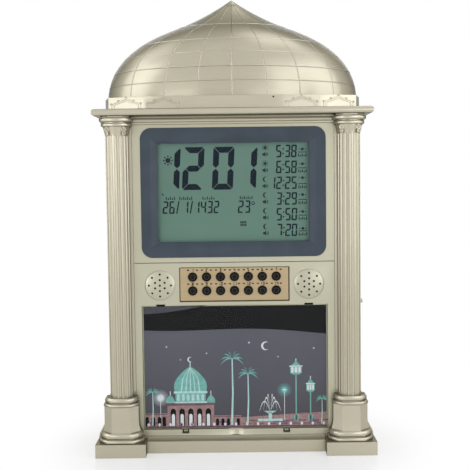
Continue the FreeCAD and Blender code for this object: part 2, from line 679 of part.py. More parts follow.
def ogee_body(inset, foot_z=DOME_Z0):
    """Half of a round ogee dome before it is flattened front to back."""
    bulge, sweep, base, tip = ogee_curves(inset, foot_z)
    foot = Part.makeLine(Vector(0, 0, foot_z), base)
    axis = Part.makeLine(tip, Vector(0, 0, foot_z))
    profile = Part.Face(Part.Wire([foot, bulge, sweep, axis]))
    return profile.revolve(Vector(0, 0, 0), Vector(0, 0, 1), -180)


def meridian_groove(angle):
    """Blade that cuts one upright panel line; angle is seen from above, 0 straight ahead."""
    foot_z = DOME_Z0 - CUT
    turn = math.radians(angle)
    squeeze = DOME_REACH / math.hypot(DOME_REACH * math.sin(turn), DOME_HALF * math.cos(turn))
    out_bulge, out_sweep, out_base, out_tip = ogee_curves(-BLADE_OUT, foot_z, squeeze)
    in_bulge, in_sweep, in_base, in_tip = ogee_curves(RIB_DEPTH / squeeze, foot_z, squeeze)
    rim = Part.Wire([out_bulge, out_sweep, Part.makeLine(out_tip, in_tip), in_sweep, in_bulge,
                     Part.makeLine(in_base, out_base)])
    blade = Part.Face(rim).extrude(Vector(0, RIB_W, 0))
    blade.translate(Vector(0, -RIB_W / 2, 0))
    blade = blade.common(box(-REACH, REACH, -REACH, REACH, 0, DOME_Z0 + DOME_H - RIB_TOP_GAP))
    blade.rotate(Vector(0, 0, 0), Vector(0, 0, 1), angle - 90.0)
    blade.translate(Vector(0, SEAM_Y, 0))
    return blade


def ring_groove(height):
    """Tool that cuts one level panel line round the dome at a height above its foot."""
    level = DOME_Z0 + height
    bulge, sweep, _, _ = ogee_curves(0.0, DOME_Z0)
    edge = bulge if level < bulge.valueAt(bulge.LastParameter).z else sweep
    low, high = edge.FirstParameter, edge.LastParameter
    for _ in range(BISECTIONS):
        middle = (low + high) / 2
        if edge.valueAt(middle).z < level:
            low = middle
        else:
            high = middle
    spot = edge.valueAt(low)
    along = edge.tangentAt(low)
    out = Vector(along.z, 0, -along.x)
    ends = [spot + along * (RIB_W / 2), spot - along * (RIB_W / 2)]
    section = [ends[0] + out, ends[0] - out * RIB_DEPTH, ends[1] - out * RIB_DEPTH, ends[1] + out]
    ring = polygon_face(section).revolve(Vector(0, 0, 0), Vector(0, 0, 1), -180 - 2 * RING_SPARE_DEG)
    ring.rotate(Vector(0, 0, 0), Vector(0, 0, 1), RING_SPARE_DEG)
    return ring


def flattened(shape, reach):
    """Squeeze a round dome front to back, its flat side on the case joint."""
    matrix = FreeCAD.Matrix()
    matrix.scale(Vector(1, reach / DOME_HALF, 1))
    shape = shape.transformGeometry(matrix)
    shape.translate(Vector(0, SEAM_Y, 0))
    return shape


def dome():
    shell = minus(flattened(ogee_body(0.0), DOME_REACH),
                  flattened(ogee_body(DOME_WALL, DOME_Z0 - CUT), DOME_REACH))
    for share in RING_SHARES:
        shell = minus(shell, flattened(ring_groove(share * DOME_H), DOME_REACH))
    for angle in RIB_ANGLES:
        for turn in sorted({-angle, angle}):
            shell = minus(shell, meridian_groove(turn))
    solid = flattened(ogee_body(RIB_DEPTH * 2), DOME_REACH)
    posts = [rod_y(x, z, BOSS_R, -REACH, SEAM_Y).common(solid)
             for x, z in boss_positions(DOME_BOSSES)]
    holes = [screw_hole(x, z) for x, z in boss_positions(DOME_BOSSES)]
    return minus(shell.multiFuse(posts), *holes)


# ============================ display ==============================================================
BEZEL_FRONT_Y = FACE_Y - BEZEL_PROUD
BEZEL_BACK_Y = PANEL_BACK_Y + BEZEL_FLANGE_T
WINDOW_BACK_Y = BEZEL_BACK_Y + WINDOW_T
LCD_Y = WINDOW_BACK_Y + WINDOW_AIR
LCD_BACK_Y = LCD_Y + LCD_T
BOARD_Y = LCD_BACK_Y + BOARD_GAP
GLASS_HALF = VIEW_HALF + LCD_LAP_X
GLASS_Z0 = VIEW_Z0 - LCD_LAP_Z
GLASS_Z1 = VIEW_Z1 + LCD_LAP_Z
ZEBRA_Z0 = GLASS_Z0 + ZEBRA_MARGIN
POST_X = GLASS_HALF + FIT + HOLDER_WALL + MOVE_GAP + BOARD_POST_R
BOARD_POSTS = [(sx * POST_X, z) for sx in (-1, 1)
               for z in (GLASS_Z0 + BOARD_POST_R, GLASS_Z1 - BOARD_POST_R)]


def upper_panel():
    plate = box(-PANEL_HALF + FIT, PANEL_HALF - FIT, FACE_Y, PANEL_BACK_Y,
                PANEL_SPLIT_Z + FIT, PANEL_Z1 - FIT)
    hole = rounded_slab(BEZEL_HALF + FIT / 2, BEZEL_Z0 - FIT / 2, BEZEL_Z1 + FIT / 2,
                        BEZEL_CORNER, FACE_Y - CUT, PANEL_BACK_Y + CUT)
    return minus(plate, hole)


def upright_rectangle(half, z0, z1, y):
    return closed_wire([Vector(-half, y, z0), Vector(half, y, z0), Vector(half, y, z1),
                        Vector(-half, y, z1)])


def display_bezel():
    body = rounded_slab(BEZEL_HALF, BEZEL_Z0, BEZEL_Z1, BEZEL_CORNER, BEZEL_FRONT_Y, BEZEL_BACK_Y)
    flange = box(-BEZEL_HALF - BEZEL_FLANGE, BEZEL_HALF + BEZEL_FLANGE, PANEL_BACK_Y,
                 BEZEL_BACK_Y, BEZEL_Z0 - BEZEL_FLANGE, BEZEL_Z1)
    posts = [rod_y(x, z, BOARD_POST_R, BEZEL_BACK_Y - EPS, BOARD_Y) for x, z in BOARD_POSTS]
    holes = [rod_y(x, z, BOARD_SCREW_R + SCREW_HOLE_GAP, BOARD_Y - BOARD_SCREW_L, BOARD_Y + CUT)
             for x, z in BOARD_POSTS]
    top = BEZEL_FRONT_Y - EPS
    low = BEZEL_FRONT_Y + BEZEL_SINK
    outer = upright_rectangle(BEZEL_HALF - BEZEL_RIM, BEZEL_Z0 + BEZEL_RIM, BEZEL_Z1 - BEZEL_RIM, top)
    inner = upright_rectangle(VIEW_HALF, VIEW_Z0, VIEW_Z1, low)
    slope = Part.makeLoft([outer, inner], True, True)
    view = rounded_slab(VIEW_HALF, VIEW_Z0, VIEW_Z1, VIEW_CORNER, top, BEZEL_BACK_Y + CUT)
    return minus(join([body, flange] + posts), slope, view, *holes)


def display_window():
    return box(-VIEW_HALF - WINDOW_LAP, VIEW_HALF + WINDOW_LAP, BEZEL_BACK_Y, WINDOW_BACK_Y,
               VIEW_Z0 - WINDOW_LAP, VIEW_Z1 + WINDOW_LAP)


def lcd_glass():
    front = box(-GLASS_HALF, GLASS_HALF, LCD_Y, LCD_Y + LCD_T / 2,
                ZEBRA_Z0 + ZEBRA_T + LCD_STEP_GAP, GLASS_Z1)
    rear = box(-GLASS_HALF, GLASS_HALF, LCD_Y + LCD_T / 2, LCD_BACK_Y, GLASS_Z0, GLASS_Z1)
    return join([front, rear])


def lcd_backlight():
    half = GLASS_HALF - BACKLIGHT_MARGIN
    return box(-half, half, LCD_BACK_Y, LCD_BACK_Y + BACKLIGHT_T,
               ZEBRA_Z0 + ZEBRA_T + BACKLIGHT_MARGIN, GLASS_Z1 - BACKLIGHT_MARGIN)


def zebra_connector():
    return box(-ZEBRA_HALF, ZEBRA_HALF, LCD_BACK_Y, BOARD_Y, ZEBRA_Z0, ZEBRA_Z0 + ZEBRA_T)


def lcd_holder():
    inner = GLASS_HALF + FIT
    outer = inner + HOLDER_WALL
    frame = box(-outer, outer, WINDOW_BACK_Y, BOARD_Y, GLASS_Z0 - FIT - HOLDER_WALL,
                GLASS_Z1 + FIT + HOLDER_WALL)
    hole = box(-inner, inner, WINDOW_BACK_Y - CUT, BOARD_Y + CUT, GLASS_Z0 - FIT, GLASS_Z1 + FIT)
    return minus(frame, hole)


def board_with_holes(half, y, z0, z1, spots):
    board = box(-half, half, y, y + BOARD_T, z0, z1)
    return minus(board, *[rod_y(x, z, BOARD_SCREW_R + SCREW_HOLE_GAP, y - CUT, y + BOARD_T + CUT)
                          for x, z in spots])


def main_board():
    return board_with_holes(POST_X + BOARD_POST_R + 2 * MOVE_GAP, BOARD_Y,
                            GLASS_Z0 - BOARD_MARGIN, GLASS_Z1 + BOARD_MARGIN, BOARD_POSTS)


def board_parts():
    """Driver chip, amplifier, crystal, plugs and capacitors on the back of the main board."""
    y = BOARD_Y + BOARD_T
    middle = (GLASS_Z0 + GLASS_Z1) / 2
    plug_z = GLASS_Z0 + PLUG_UP
    pieces = [box(x0, x1, y, y + height, middle + z0, middle + z1)
              for x0, x1, z0, z1, height in BOARD_BLOCKS]
    pieces += [box(x - PLUG_HALF, x + PLUG_HALF, y, y + PLUG_DEPTH, plug_z, plug_z + PLUG_HALF)
               for x in PLUG_XS]
    pieces += [rod_y(x, middle + CAPACITOR_UP, CAPACITOR_R, y, y + CAPACITOR_H)
               for x in CAPACITOR_XS]
    return Part.makeCompound(pieces)


# ============================ lower panel, keys, speakers ==================================
KEY_XS = [(index - (KEY_COLUMNS - 1) / 2) * KEY_PITCH for index in range(KEY_COLUMNS)]
PLATE_FRONT_Y = FACE_Y + PLATE_SINK
PLATE_BACK_Y = PLATE_FRONT_Y + PLATE_T
KEY_FLANGE_Y = PLATE_BACK_Y + MOVE_GAP
KEY_STEM_END_Y = KEY_FLANGE_Y + KEY_FLANGE_T + KEY_STEM_L
KEY_BOARD_Y = KEY_STEM_END_Y + SWITCH_GAP + SWITCH_H
KEY_WINDOW_HALF = KEY_XS[-1] + KEY_WINDOW_MARGIN
KEY_POST_X = KEY_WINDOW_HALF + KEY_POST_R + MOVE_GAP
KEY_BOARD_HALF = KEY_POST_X + KEY_POST_R + MOVE_GAP
KEY_WINDOW_Z0 = KEY_ROWS_Z[-1] - KEY_WINDOW_MARGIN
KEY_WINDOW_Z1 = KEY_ROWS_Z[0] + KEY_WINDOW_MARGIN
KEY_POSTS = [(sx * KEY_POST_X, z) for sx in (-1, 1)
             for z in (KEY_WINDOW_Z0 + KEY_POST_R, KEY_WINDOW_Z1 - KEY_POST_R)]
WELL_FLOOR_Y = FACE_Y + WELL_DEPTH
WELL_BACK_Y = WELL_FLOOR_Y + WELL_FLOOR_T


def grille(x):
    """Low dome over a speaker and the holes through it."""
    radius = (GRILLE_R ** 2 + GRILLE_RISE ** 2) / (2 * GRILLE_RISE)
    ball = Part.makeSphere(radius, Vector(x, FACE_Y - GRILLE_RISE + radius, SPEAKER_Z))
    cap = ball.common(rod_y(x, SPEAKER_Z, GRILLE_R + CUT, FACE_Y - GRILLE_RISE - CUT, FACE_Y + FIT))
    spots = [(x, SPEAKER_Z)]
    for count, ring in zip(GRILLE_HOLES, GRILLE_RING_R):
        for index in range(count):
            turn = math.tau * index / count
            spots.append((x + ring * math.sin(turn), SPEAKER_Z + ring * math.cos(turn)))
    holes = [rod_y(hx, hz, GRILLE_HOLE_R, FACE_Y - GRILLE_RISE - CUT, PANEL_BACK_Y + CUT)
             for hx, hz in spots]
    return cap, holes


def lower_panel():
    plate = box(-PANEL_HALF + FIT, PANEL_HALF - FIT, FACE_Y, PANEL_BACK_Y,
                PANEL_Z0 + FIT, PANEL_SPLIT_Z - FIT)
    tub = box(-WELL_HALF - WELL_WALL, WELL_HALF + WELL_WALL, FACE_Y + TUB_LAP, WELL_BACK_Y,
              WELL_Z0 - 2 * TUB_MARGIN, WELL_Z1 + TAB_SLOT_UP + TUB_MARGIN)
    posts = [rod_y(x, z, KEY_POST_R, PANEL_BACK_Y - EPS, KEY_BOARD_Y) for x, z in KEY_POSTS]
    caps = []
    cuts = []
    for x in (-SPEAKER_X, SPEAKER_X):
        cap, holes = grille(x)
        caps.append(cap)
        cuts += holes
    cuts += [rod_y(x, z, BOARD_SCREW_R + SCREW_HOLE_GAP, PANEL_BACK_Y, KEY_BOARD_Y + CUT)
             for x, z in KEY_POSTS]
    cuts.append(rounded_slab(PLATE_HALF + FIT, PLATE_Z0 - FIT, PLATE_Z1 + FIT, PLATE_CORNER,
                             FACE_Y - CUT, PLATE_BACK_Y))
    cuts.append(box(-KEY_WINDOW_HALF, KEY_WINDOW_HALF, FACE_Y, PANEL_BACK_Y + CUT,
                    KEY_WINDOW_Z0, KEY_WINDOW_Z1))
    cuts.append(box(-WELL_HALF, WELL_HALF, FACE_Y - CUT, WELL_FLOOR_Y, WELL_Z0, WELL_Z1))
    for sign in (-1, 1):
        x = sign * TAB_X
        cuts.append(box(x - TAB_SLOT_HALF, x + TAB_SLOT_HALF, FACE_Y + TAB_LIP_T, WELL_FLOOR_Y,
                        WELL_Z1 - CUT, WELL_Z1 + TAB_SLOT_UP))
        cuts.append(box(x - TAB_SLOT_HALF, x + TAB_SLOT_HALF, FACE_Y - CUT, WELL_FLOOR_Y,
                        WELL_Z1 - CUT, WELL_Z1 + TAB_LIP_UP))
        x = sign * SNAP_X
        cuts.append(box(x - SNAP_SLOT_HALF, x + SNAP_SLOT_HALF, FACE_Y - CUT, WELL_FLOOR_Y,
                        WELL_Z0 - SNAP_SLOT_DOWN, WELL_Z0 + CUT))
    thumb = (THUMB_R ** 2 + THUMB_DEPTH ** 2) / (2 * THUMB_DEPTH)
    cuts.append(Part.makeSphere(thumb, Vector(0, FACE_Y + THUMB_DEPTH - thumb, WELL_Z0)))
    return minus(join([plate, tub] + posts + caps), *cuts)


def key_plate():
    plate = rounded_slab(PLATE_HALF, PLATE_Z0, PLATE_Z1, PLATE_CORNER, PLATE_FRONT_Y, PLATE_BACK_Y)
    return minus(plate, *[rod_y(x, z, KEY_HOLE_R, PLATE_FRONT_Y - CUT, PLATE_BACK_Y + CUT)
                          for z in KEY_ROWS_Z for x in KEY_XS])


def key(x, z):
    """Round key: cap with a ring groove, retaining flange and stem."""
    top = PLATE_FRONT_Y - KEY_PROUD
    cap = rod_y(x, z, KEY_R, top, KEY_FLANGE_Y + EPS)
    cap = cap.makeFillet(KEY_ROUND, [e for e in cap.Edges if e.CenterOfMass.y < top + EPS
                                     and e.Closed and e.Length > KEY_R])
    groove = minus(rod_y(x, z, KEY_R - KEY_RING_W, top - CUT, top + KEY_RING_DEPTH),
                   rod_y(x, z, KEY_R - 2 * KEY_RING_W, top - 2 * CUT, top + CUT))
    flange = rod_y(x, z, KEY_FLANGE_R, KEY_FLANGE_Y, KEY_FLANGE_Y + KEY_FLANGE_T)
    stem = rod_y(x, z, KEY_STEM_R, KEY_FLANGE_Y, KEY_STEM_END_Y)
    return minus(join([cap, flange, stem]), groove)


def key_board():
    return board_with_holes(KEY_BOARD_HALF, KEY_BOARD_Y, KEY_WINDOW_Z0 - KEY_BOARD_MARGIN,
                            KEY_WINDOW_Z1 + KEY_BOARD_MARGIN, KEY_POSTS)


def key_switches():
    half = SWITCH_SIZE / 2
    return Part.makeCompound([box(x - half, x + half, KEY_BOARD_Y - SWITCH_H, KEY_BOARD_Y,
                                  z - half, z + half) for z in KEY_ROWS_Z for x in KEY_XS])


def revolve_about_y(points, x, z):
    """Turn a closed (radius, y) outline about the axis along Y through x, z."""
    face = polygon_face([Vector(x + r, y, z) for r, y in points])
    return face.revolve(Vector(x, 0, z), Vector(0, 1, 0), 360)


def speaker_basket(x):
    y = PANEL_BACK_Y
    inner = CONE_R + CONE_GAP
    magnet_y = y + SPEAKER_DEPTH
    floor_y = magnet_y - MAGNET_FLOOR
    return revolve_about_y([
        (inner, y), (SPEAKER_R, y), (SPEAKER_R, y + SPEAKER_RIM_T),
        (MAGNET_R + MAGNET_SKIRT, magnet_y), (MAGNET_R, magnet_y),
        (MAGNET_R, magnet_y + MAGNET_T), (0, magnet_y + MAGNET_T), (0, floor_y),
        (MAGNET_R - MAGNET_FLOOR_IN, floor_y), (inner, y + SPEAKER_RIM_T)], x, SPEAKER_Z)


def speaker_cone(x):
    y = PANEL_BACK_Y + CONE_GAP
    deep_y = y + SPEAKER_DEPTH - CONE_RISE
    slope_r = CONE_R - CONE_SURROUND
    return revolve_about_y([
        (CONE_R, y), (CONE_R, y + CONE_T), (slope_r, y + CONE_T),
        (CONE_CAP_R, deep_y), (0, deep_y), (0, deep_y - CONE_T),
        (CONE_CAP_R - CONE_SLANT, deep_y - CONE_T), (slope_r - CONE_SLANT, y)], x, SPEAKER_Z)


# ============================ picture window ===============================================
COVER_PLATE_BACK_Y = WELL_FLOOR_Y - CARD_T - MOVE_GAP
COVER_PLATE_Y = COVER_PLATE_BACK_Y - COVER_PLATE_T
COVER_AXIS_Y = COVER_PLATE_BACK_Y - TAB_BEAD_R


def picture_card():
    return box(-WELL_HALF + CARD_MARGIN, WELL_HALF - CARD_MARGIN, WELL_FLOOR_Y - CARD_T,
               WELL_FLOOR_Y, WELL_Z0 + CARD_MARGIN / 2, WELL_Z1 - CARD_MARGIN)


def picture_cover():
    """Clear cover: it turns on two tabs at the top and snaps in at the bottom."""
    top = WELL_Z1 - COVER_TOP_GAP
    bottom = WELL_Z0 + MOVE_GAP
    plate = box(-WELL_HALF + MOVE_GAP, WELL_HALF - MOVE_GAP, COVER_PLATE_Y, COVER_PLATE_BACK_Y,
                bottom, top)
    parts = [plate]
    for sign in (-1, 1):
        parts.append(box(sign * TAB_X - TAB_HALF, sign * TAB_X + TAB_HALF,
                         COVER_PLATE_BACK_Y - TAB_T, COVER_PLATE_BACK_Y, top - CUT, top + TAB_UP))
        parts.append(rod_x(COVER_AXIS_Y, COVER_AXIS_Z, TAB_BEAD_R, sign * TAB_X - TAB_HALF,
                           sign * TAB_X + TAB_HALF))
        parts.append(box(sign * SNAP_X - SNAP_HALF, sign * SNAP_X + SNAP_HALF,
                         COVER_PLATE_Y, COVER_PLATE_BACK_Y, bottom - SNAP_DOWN, bottom + CUT))
    return join(parts)


# ============================ back cover ===================================================
DOOR_HALF = BAY_HALF - BAY_WALL + DOOR_LEDGE
DOOR_Z0 = BAY_Z0 - DOOR_LEDGE
MOUTH_Z1 = BAY_Z1 - DOOR_HOOK_ROOM
DOOR_Z1 = MOUTH_Z1 - DOOR_TOP_GAP
DOOR_Y = BACK_Y - DOOR_T
DOOR_AXIS_Y = BACK_Y - DOOR_T / 2
DOOR_AXIS_Z = DOOR_Z1 - DOOR_T / 2


def back_outline():
    """Plate that closes the case, the parapet and the dome in one piece."""
    nose = CORNICE_HALF - CORNICE_ROUND
    lean = CORNICE_ROUND * (1.0 - math.sqrt(0.5))
    side = case_side(0.0, 0.0, CORNICE_Z0)
    side.append(Part.makeLine(Vector(NECK_RING_HALF, 0, CORNICE_Z0), Vector(nose, 0, CORNICE_Z0)))
    side.append(Part.Arc(Vector(nose, 0, CORNICE_Z0),
                         Vector(CORNICE_HALF - lean, 0, CORNICE_Z0 + lean),
                         Vector(CORNICE_HALF, 0, CORNICE_Z0 + CORNICE_ROUND)).toShape())
    side.append(Part.makeLine(Vector(CORNICE_HALF, 0, CORNICE_Z0 + CORNICE_ROUND),
                              Vector(CORNICE_HALF, 0, CORNICE_Z1 - CORNICE_ROUND)))
    side.append(Part.Arc(Vector(CORNICE_HALF, 0, CORNICE_Z1 - CORNICE_ROUND),
                         Vector(CORNICE_HALF - lean, 0, CORNICE_Z1 - lean),
                         Vector(nose, 0, CORNICE_Z1)).toShape())
    parapet_half = PARAPET_PLAN[-1][0]
    side += Part.makePolygon([Vector(nose, 0, CORNICE_Z1), Vector(parapet_half, 0, CORNICE_Z1),
                              Vector(parapet_half, 0, DOME_Z0),
                              Vector(DOME_HALF, 0, DOME_Z0)]).Edges
    bulge, sweep, _, _ = ogee_curves(0.0, DOME_Z0)
    side += [bulge, sweep]
    foot = Part.makeLine(Vector(-FOOT_HALF, 0, 0), Vector(FOOT_HALF, 0, 0))
    edges = [foot] + side + [mirrored(edge) for edge in side]
    rim = Part.Wire(Part.__sortEdges__(edges))
    face = Part.Face(rim)
    face.translate(Vector(0, SEAM_Y, 0))
    return face.extrude(Vector(0, COVER_T, 0))


def back_cover():
    plate = back_outline()
    tub = box(-BAY_HALF - BAY_WALL, BAY_HALF + BAY_WALL, BAY_FLOOR_Y - BAY_WALL, SEAM_Y + EPS,
              BAY_Z0 - BAY_WALL, BAY_Z1 + BAY_WALL)
    room = box(-BAY_HALF, BAY_HALF, BAY_FLOOR_Y, SEAM_Y, BAY_Z0, BAY_Z1)
    mouth = box(-BAY_HALF + BAY_WALL, BAY_HALF - BAY_WALL, SEAM_Y - CUT, BACK_Y + CUT,
                BAY_Z0, MOUTH_Z1)
    seat = box(-DOOR_HALF - DOOR_GAP, DOOR_HALF + DOOR_GAP, DOOR_Y - DOOR_GAP, BACK_Y + CUT,
               DOOR_Z0 - DOOR_GAP, MOUTH_Z1)
    cuts = [room, mouth, seat]
    for x, z in boss_positions(CASE_BOSSES + DOME_BOSSES):
        cuts.append(rod_y(x, z, SCREW_R + SCREW_FREE_GAP, SEAM_Y - CUT, BACK_Y + CUT))
        cuts.append(rod_y(x, z, SCREW_WELL_R, BACK_Y - SCREW_WELL_DEPTH, BACK_Y + CUT))
    return minus(join([plate, tub]), *cuts)


def battery_door():
    """Door hung on two hooks; its upper edge is rounded about the line it turns on."""
    door = join([box(-DOOR_HALF, DOOR_HALF, DOOR_Y, BACK_Y, DOOR_Z0, DOOR_AXIS_Z),
                 rod_x(DOOR_AXIS_Y, DOOR_AXIS_Z, DOOR_T / 2, -DOOR_HALF, DOOR_HALF)])
    arm_z0 = DOOR_Z1 - DOOR_HOOK_ARM[0]
    arm_z1 = DOOR_Z1 - DOOR_HOOK_ARM[1]
    back = SEAM_Y - MOVE_GAP
    hooks = []
    for sign in (-1, 1):
        x0 = sign * DOOR_HOOK_X - DOOR_HOOK_HALF
        x1 = sign * DOOR_HOOK_X + DOOR_HOOK_HALF
        hooks.append(box(x0, x1, back - DOOR_HOOK_T, DOOR_Y + EPS, arm_z0, arm_z1))
        hooks.append(box(x0, x1, back - DOOR_HOOK_T, back, arm_z0, DOOR_Z1 + DOOR_HOOK_UP))
    ball = (DOOR_PULL_R ** 2 + DOOR_PULL_DEPTH ** 2) / (2 * DOOR_PULL_DEPTH)
    pull = Part.makeSphere(ball, Vector(0, BACK_Y - DOOR_PULL_DEPTH + ball,
                                        DOOR_Z0 + DOOR_PULL_R + DOOR_PULL_UP))
    return minus(join([door] + hooks), pull)


def cell_z(index):
    return BAY_Z0 + MOVE_GAP + CELL_R + index * CELL_PITCH


def battery_cell(index):
    """AA cell; neighbours face opposite ways."""
    sign = 1 if index % 2 == 0 else -1
    z = cell_z(index)
    body = rod_x(CELL_Y, z, CELL_R, -CELL_L / 2, CELL_L / 2)
    tip0, tip1 = sorted((sign * (CELL_L / 2 - EPS), sign * (CELL_L / 2 + CELL_NIPPLE_L)))
    return join([body, rod_x(CELL_Y, z, CELL_NIPPLE_R, tip0, tip1)])


def battery_contacts():
    """A flat plate at each plus end and a bent leaf at each minus end."""
    pieces = []
    for index in range(CELL_COUNT):
        sign = 1 if index % 2 == 0 else -1
        z = cell_z(index)
        for end in (-1, 1):
            wall = end * BAY_HALF
            plate = sorted((wall, wall - end * CONTACT_T))
            blade = box(plate[0], plate[1], CELL_Y - CONTACT_HALF, CELL_Y + CONTACT_HALF,
                        z - CONTACT_HALF, z + CONTACT_HALF)
            reach = end * (CELL_L / 2 + (CELL_NIPPLE_L if end == sign else 0.0) + LEAF_GAP)
            leaf = polygon_face([Vector(wall - end * CONTACT_T, CELL_Y - LEAF_HALF, z + LEAF_RISE),
                                 Vector(reach, CELL_Y - LEAF_HALF, z),
                                 Vector(wall - end * CONTACT_T, CELL_Y - LEAF_HALF, z - LEAF_RISE)])
            pieces.append(join([blade, leaf.extrude(Vector(0, 2 * LEAF_HALF, 0))]))
    return Part.makeCompound(pieces)


# ============================ fasteners ====================================================
def pan_screw(x, z, head_y, radius, length, head_r, head_t):
    """Cross-slotted screw driven from the back, its head's seat at head_y."""
    shank = rod_y(x, z, radius, head_y - length, head_y + EPS)
    head = rod_y(x, z, head_r, head_y, head_y + head_t)
    slot = SCREW_SLOT_W / 2
    arm = head_r * SCREW_CROSS
    top = head_y + head_t
    cross = [box(x - arm, x + arm, top - SCREW_SLOT_D, top + CUT, z - slot, z + slot),
             box(x - slot, x + slot, top - SCREW_SLOT_D, top + CUT, z - arm, z + arm)]
    return minus(join([shank, head]), *cross)


def case_screws():
    return Part.makeCompound([
        pan_screw(x, z, BACK_Y - SCREW_WELL_DEPTH, SCREW_R, SCREW_L, SCREW_HEAD_R, SCREW_HEAD_T)
        for x, z in boss_positions(CASE_BOSSES + DOME_BOSSES)])


def board_screws():
    pieces = [pan_screw(x, z, BOARD_Y + BOARD_T, BOARD_SCREW_R, BOARD_SCREW_L + BOARD_T - FIT,
                        BOARD_SCREW_HEAD_R, BOARD_SCREW_HEAD_T) for x, z in BOARD_POSTS]
    pieces += [pan_screw(x, z, KEY_BOARD_Y + BOARD_T, BOARD_SCREW_R, KEY_SCREW_L + BOARD_T,
                         BOARD_SCREW_HEAD_R, BOARD_SCREW_HEAD_T) for x, z in KEY_POSTS]
    return Part.makeCompound(pieces)


# ============================ side button ==================================================
SIDE_INNER_X = BODY_HALF - WALL
SIDE_FLANGE_X = SIDE_INNER_X - MOVE_GAP


def side_button():
    cap = rod_x(SIDE_Y, SIDE_Z, SIDE_R, SIDE_FLANGE_X - EPS, BODY_HALF + SIDE_PROUD)
    cap = cap.makeFillet(SIDE_ROUND, [e for e in cap.Edges if e.Closed
                                      and e.CenterOfMass.x > BODY_HALF + SIDE_PROUD - EPS])
    flange = rod_x(SIDE_Y, SIDE_Z, SIDE_FLANGE_R, SIDE_FLANGE_X - SIDE_FLANGE_T, SIDE_FLANGE_X)
    stem = rod_x(SIDE_Y, SIDE_Z, SIDE_R, SIDE_FLANGE_X - SIDE_FLANGE_T - SIDE_STEM_L,
                 SIDE_FLANGE_X - SIDE_FLANGE_T + EPS)
    return join([cap, flange, stem])


def side_switch():
    x1 = SIDE_FLANGE_X - SIDE_FLANGE_T - SIDE_STEM_L - SIDE_GAP
    half = SIDE_SWITCH / 2
    return box(x1 - SIDE_SWITCH_L, x1, SIDE_Y - half, SIDE_Y + half, SIDE_Z - half, SIDE_Z + half)


# ============================ all pieces ===================================================
save("front_case", front_case())
save("left_column", column(-1))
save("right_column", column(1))
save("parapet", parapet())
save("dome_shell", dome())
save("upper_panel", upper_panel())
save("lower_panel", lower_panel())
save("display_bezel", display_bezel())
save("display_window", display_window())
save("lcd_glass", lcd_glass())
save("lcd_backlight", lcd_backlight())
save("lcd_holder", lcd_holder())
save("zebra_connector", zebra_connector())
save("main_board", main_board())
save("board_parts", board_parts())
save("key_plate", key_plate())
for row, key_z in enumerate(KEY_ROWS_Z):
    for place, key_x in enumerate(KEY_XS):
        save("key_%02d" % (row * KEY_COLUMNS + place + 1), key(key_x, key_z))
save("key_board", key_board())
save("key_switches", key_switches())
for side_name, speaker_x in (("left", -SPEAKER_X), ("right", SPEAKER_X)):
    save(side_name + "_speaker_basket", speaker_basket(speaker_x))
    save(side_name + "_speaker_cone", speaker_cone(speaker_x))
save("picture_card", picture_card())
save("picture_cover", picture_cover())
save("back_cover", back_cover())
save("battery_door", battery_door())
for cell in range(CELL_COUNT):
    save("battery_cell_%d" % (cell + 1), battery_cell(cell))
save("battery_contacts", battery_contacts())
save("case_screws", case_screws())
save("board_screws", board_screws())
save("side_button", side_button())
save("side_switch", side_switch())
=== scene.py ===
import json
import math

import bmesh
import bpy
from mathutils import Matrix, Vector
from mathutils.bvhtree import BVHTree


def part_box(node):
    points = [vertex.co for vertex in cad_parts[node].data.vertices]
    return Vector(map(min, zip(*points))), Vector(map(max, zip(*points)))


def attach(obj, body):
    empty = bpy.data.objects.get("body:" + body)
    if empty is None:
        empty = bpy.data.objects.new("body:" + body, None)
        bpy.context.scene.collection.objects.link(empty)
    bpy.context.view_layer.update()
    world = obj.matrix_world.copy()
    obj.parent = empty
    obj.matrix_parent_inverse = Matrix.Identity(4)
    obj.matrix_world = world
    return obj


# Looks of a mosque-shaped table clock.  Metres, in the CAD's own frame: origin in the
# middle of the footprint, +Z up, the dial faces -Y.  mm() turns millimetres into metres.

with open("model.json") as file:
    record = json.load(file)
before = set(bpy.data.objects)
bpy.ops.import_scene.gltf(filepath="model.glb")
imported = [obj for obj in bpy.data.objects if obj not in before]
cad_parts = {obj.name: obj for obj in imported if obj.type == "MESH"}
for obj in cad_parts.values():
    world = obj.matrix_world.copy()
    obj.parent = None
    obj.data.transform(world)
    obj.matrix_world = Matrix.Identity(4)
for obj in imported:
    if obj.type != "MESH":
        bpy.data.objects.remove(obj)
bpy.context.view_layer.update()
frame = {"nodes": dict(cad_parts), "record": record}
NODES = frame["nodes"]
SIDES = (("left", -1), ("right", 1))
WHITE = (1.0, 1.0, 1.0, 1.0)
MM_PER_M = 1000.0


def mm(value):
    return value / MM_PER_M


def at(x, y, z):
    """Point given in millimetres."""
    return Vector((mm(x), mm(y), mm(z)))


def box_mm(node):
    """Lowest and highest corner of a CAD node, in millimetres."""
    return [corner * MM_PER_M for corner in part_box(node)]


def linked(name, data):
    """New object in the scene around a mesh, curve, lamp or camera."""
    made = bpy.data.objects.new(name, data)
    bpy.context.scene.collection.objects.link(made)
    return made


def add_node(tree, kind, inputs=(), **settings):
    """New node; inputs maps each socket to a value or to another node's output."""
    made = tree.nodes.new(kind)
    for key, value in settings.items():
        setattr(made, key, value)
    for socket, value in dict(inputs).items():
        if isinstance(value, bpy.types.NodeSocket):
            tree.links.new(value, made.inputs[socket])
        else:
            made.inputs[socket].default_value = value
    return made


def sweep(degrees):
    """Points (cos, sin) of the unit circle at the given angles."""
    return [(math.cos(math.radians(turn)), math.sin(math.radians(turn))) for turn in degrees]


def circle(count):
    """Points (cos, sin) at even turns round the unit circle."""
    turns = [math.tau * index / count for index in range(count)]
    return [(math.cos(turn), math.sin(turn)) for turn in turns]


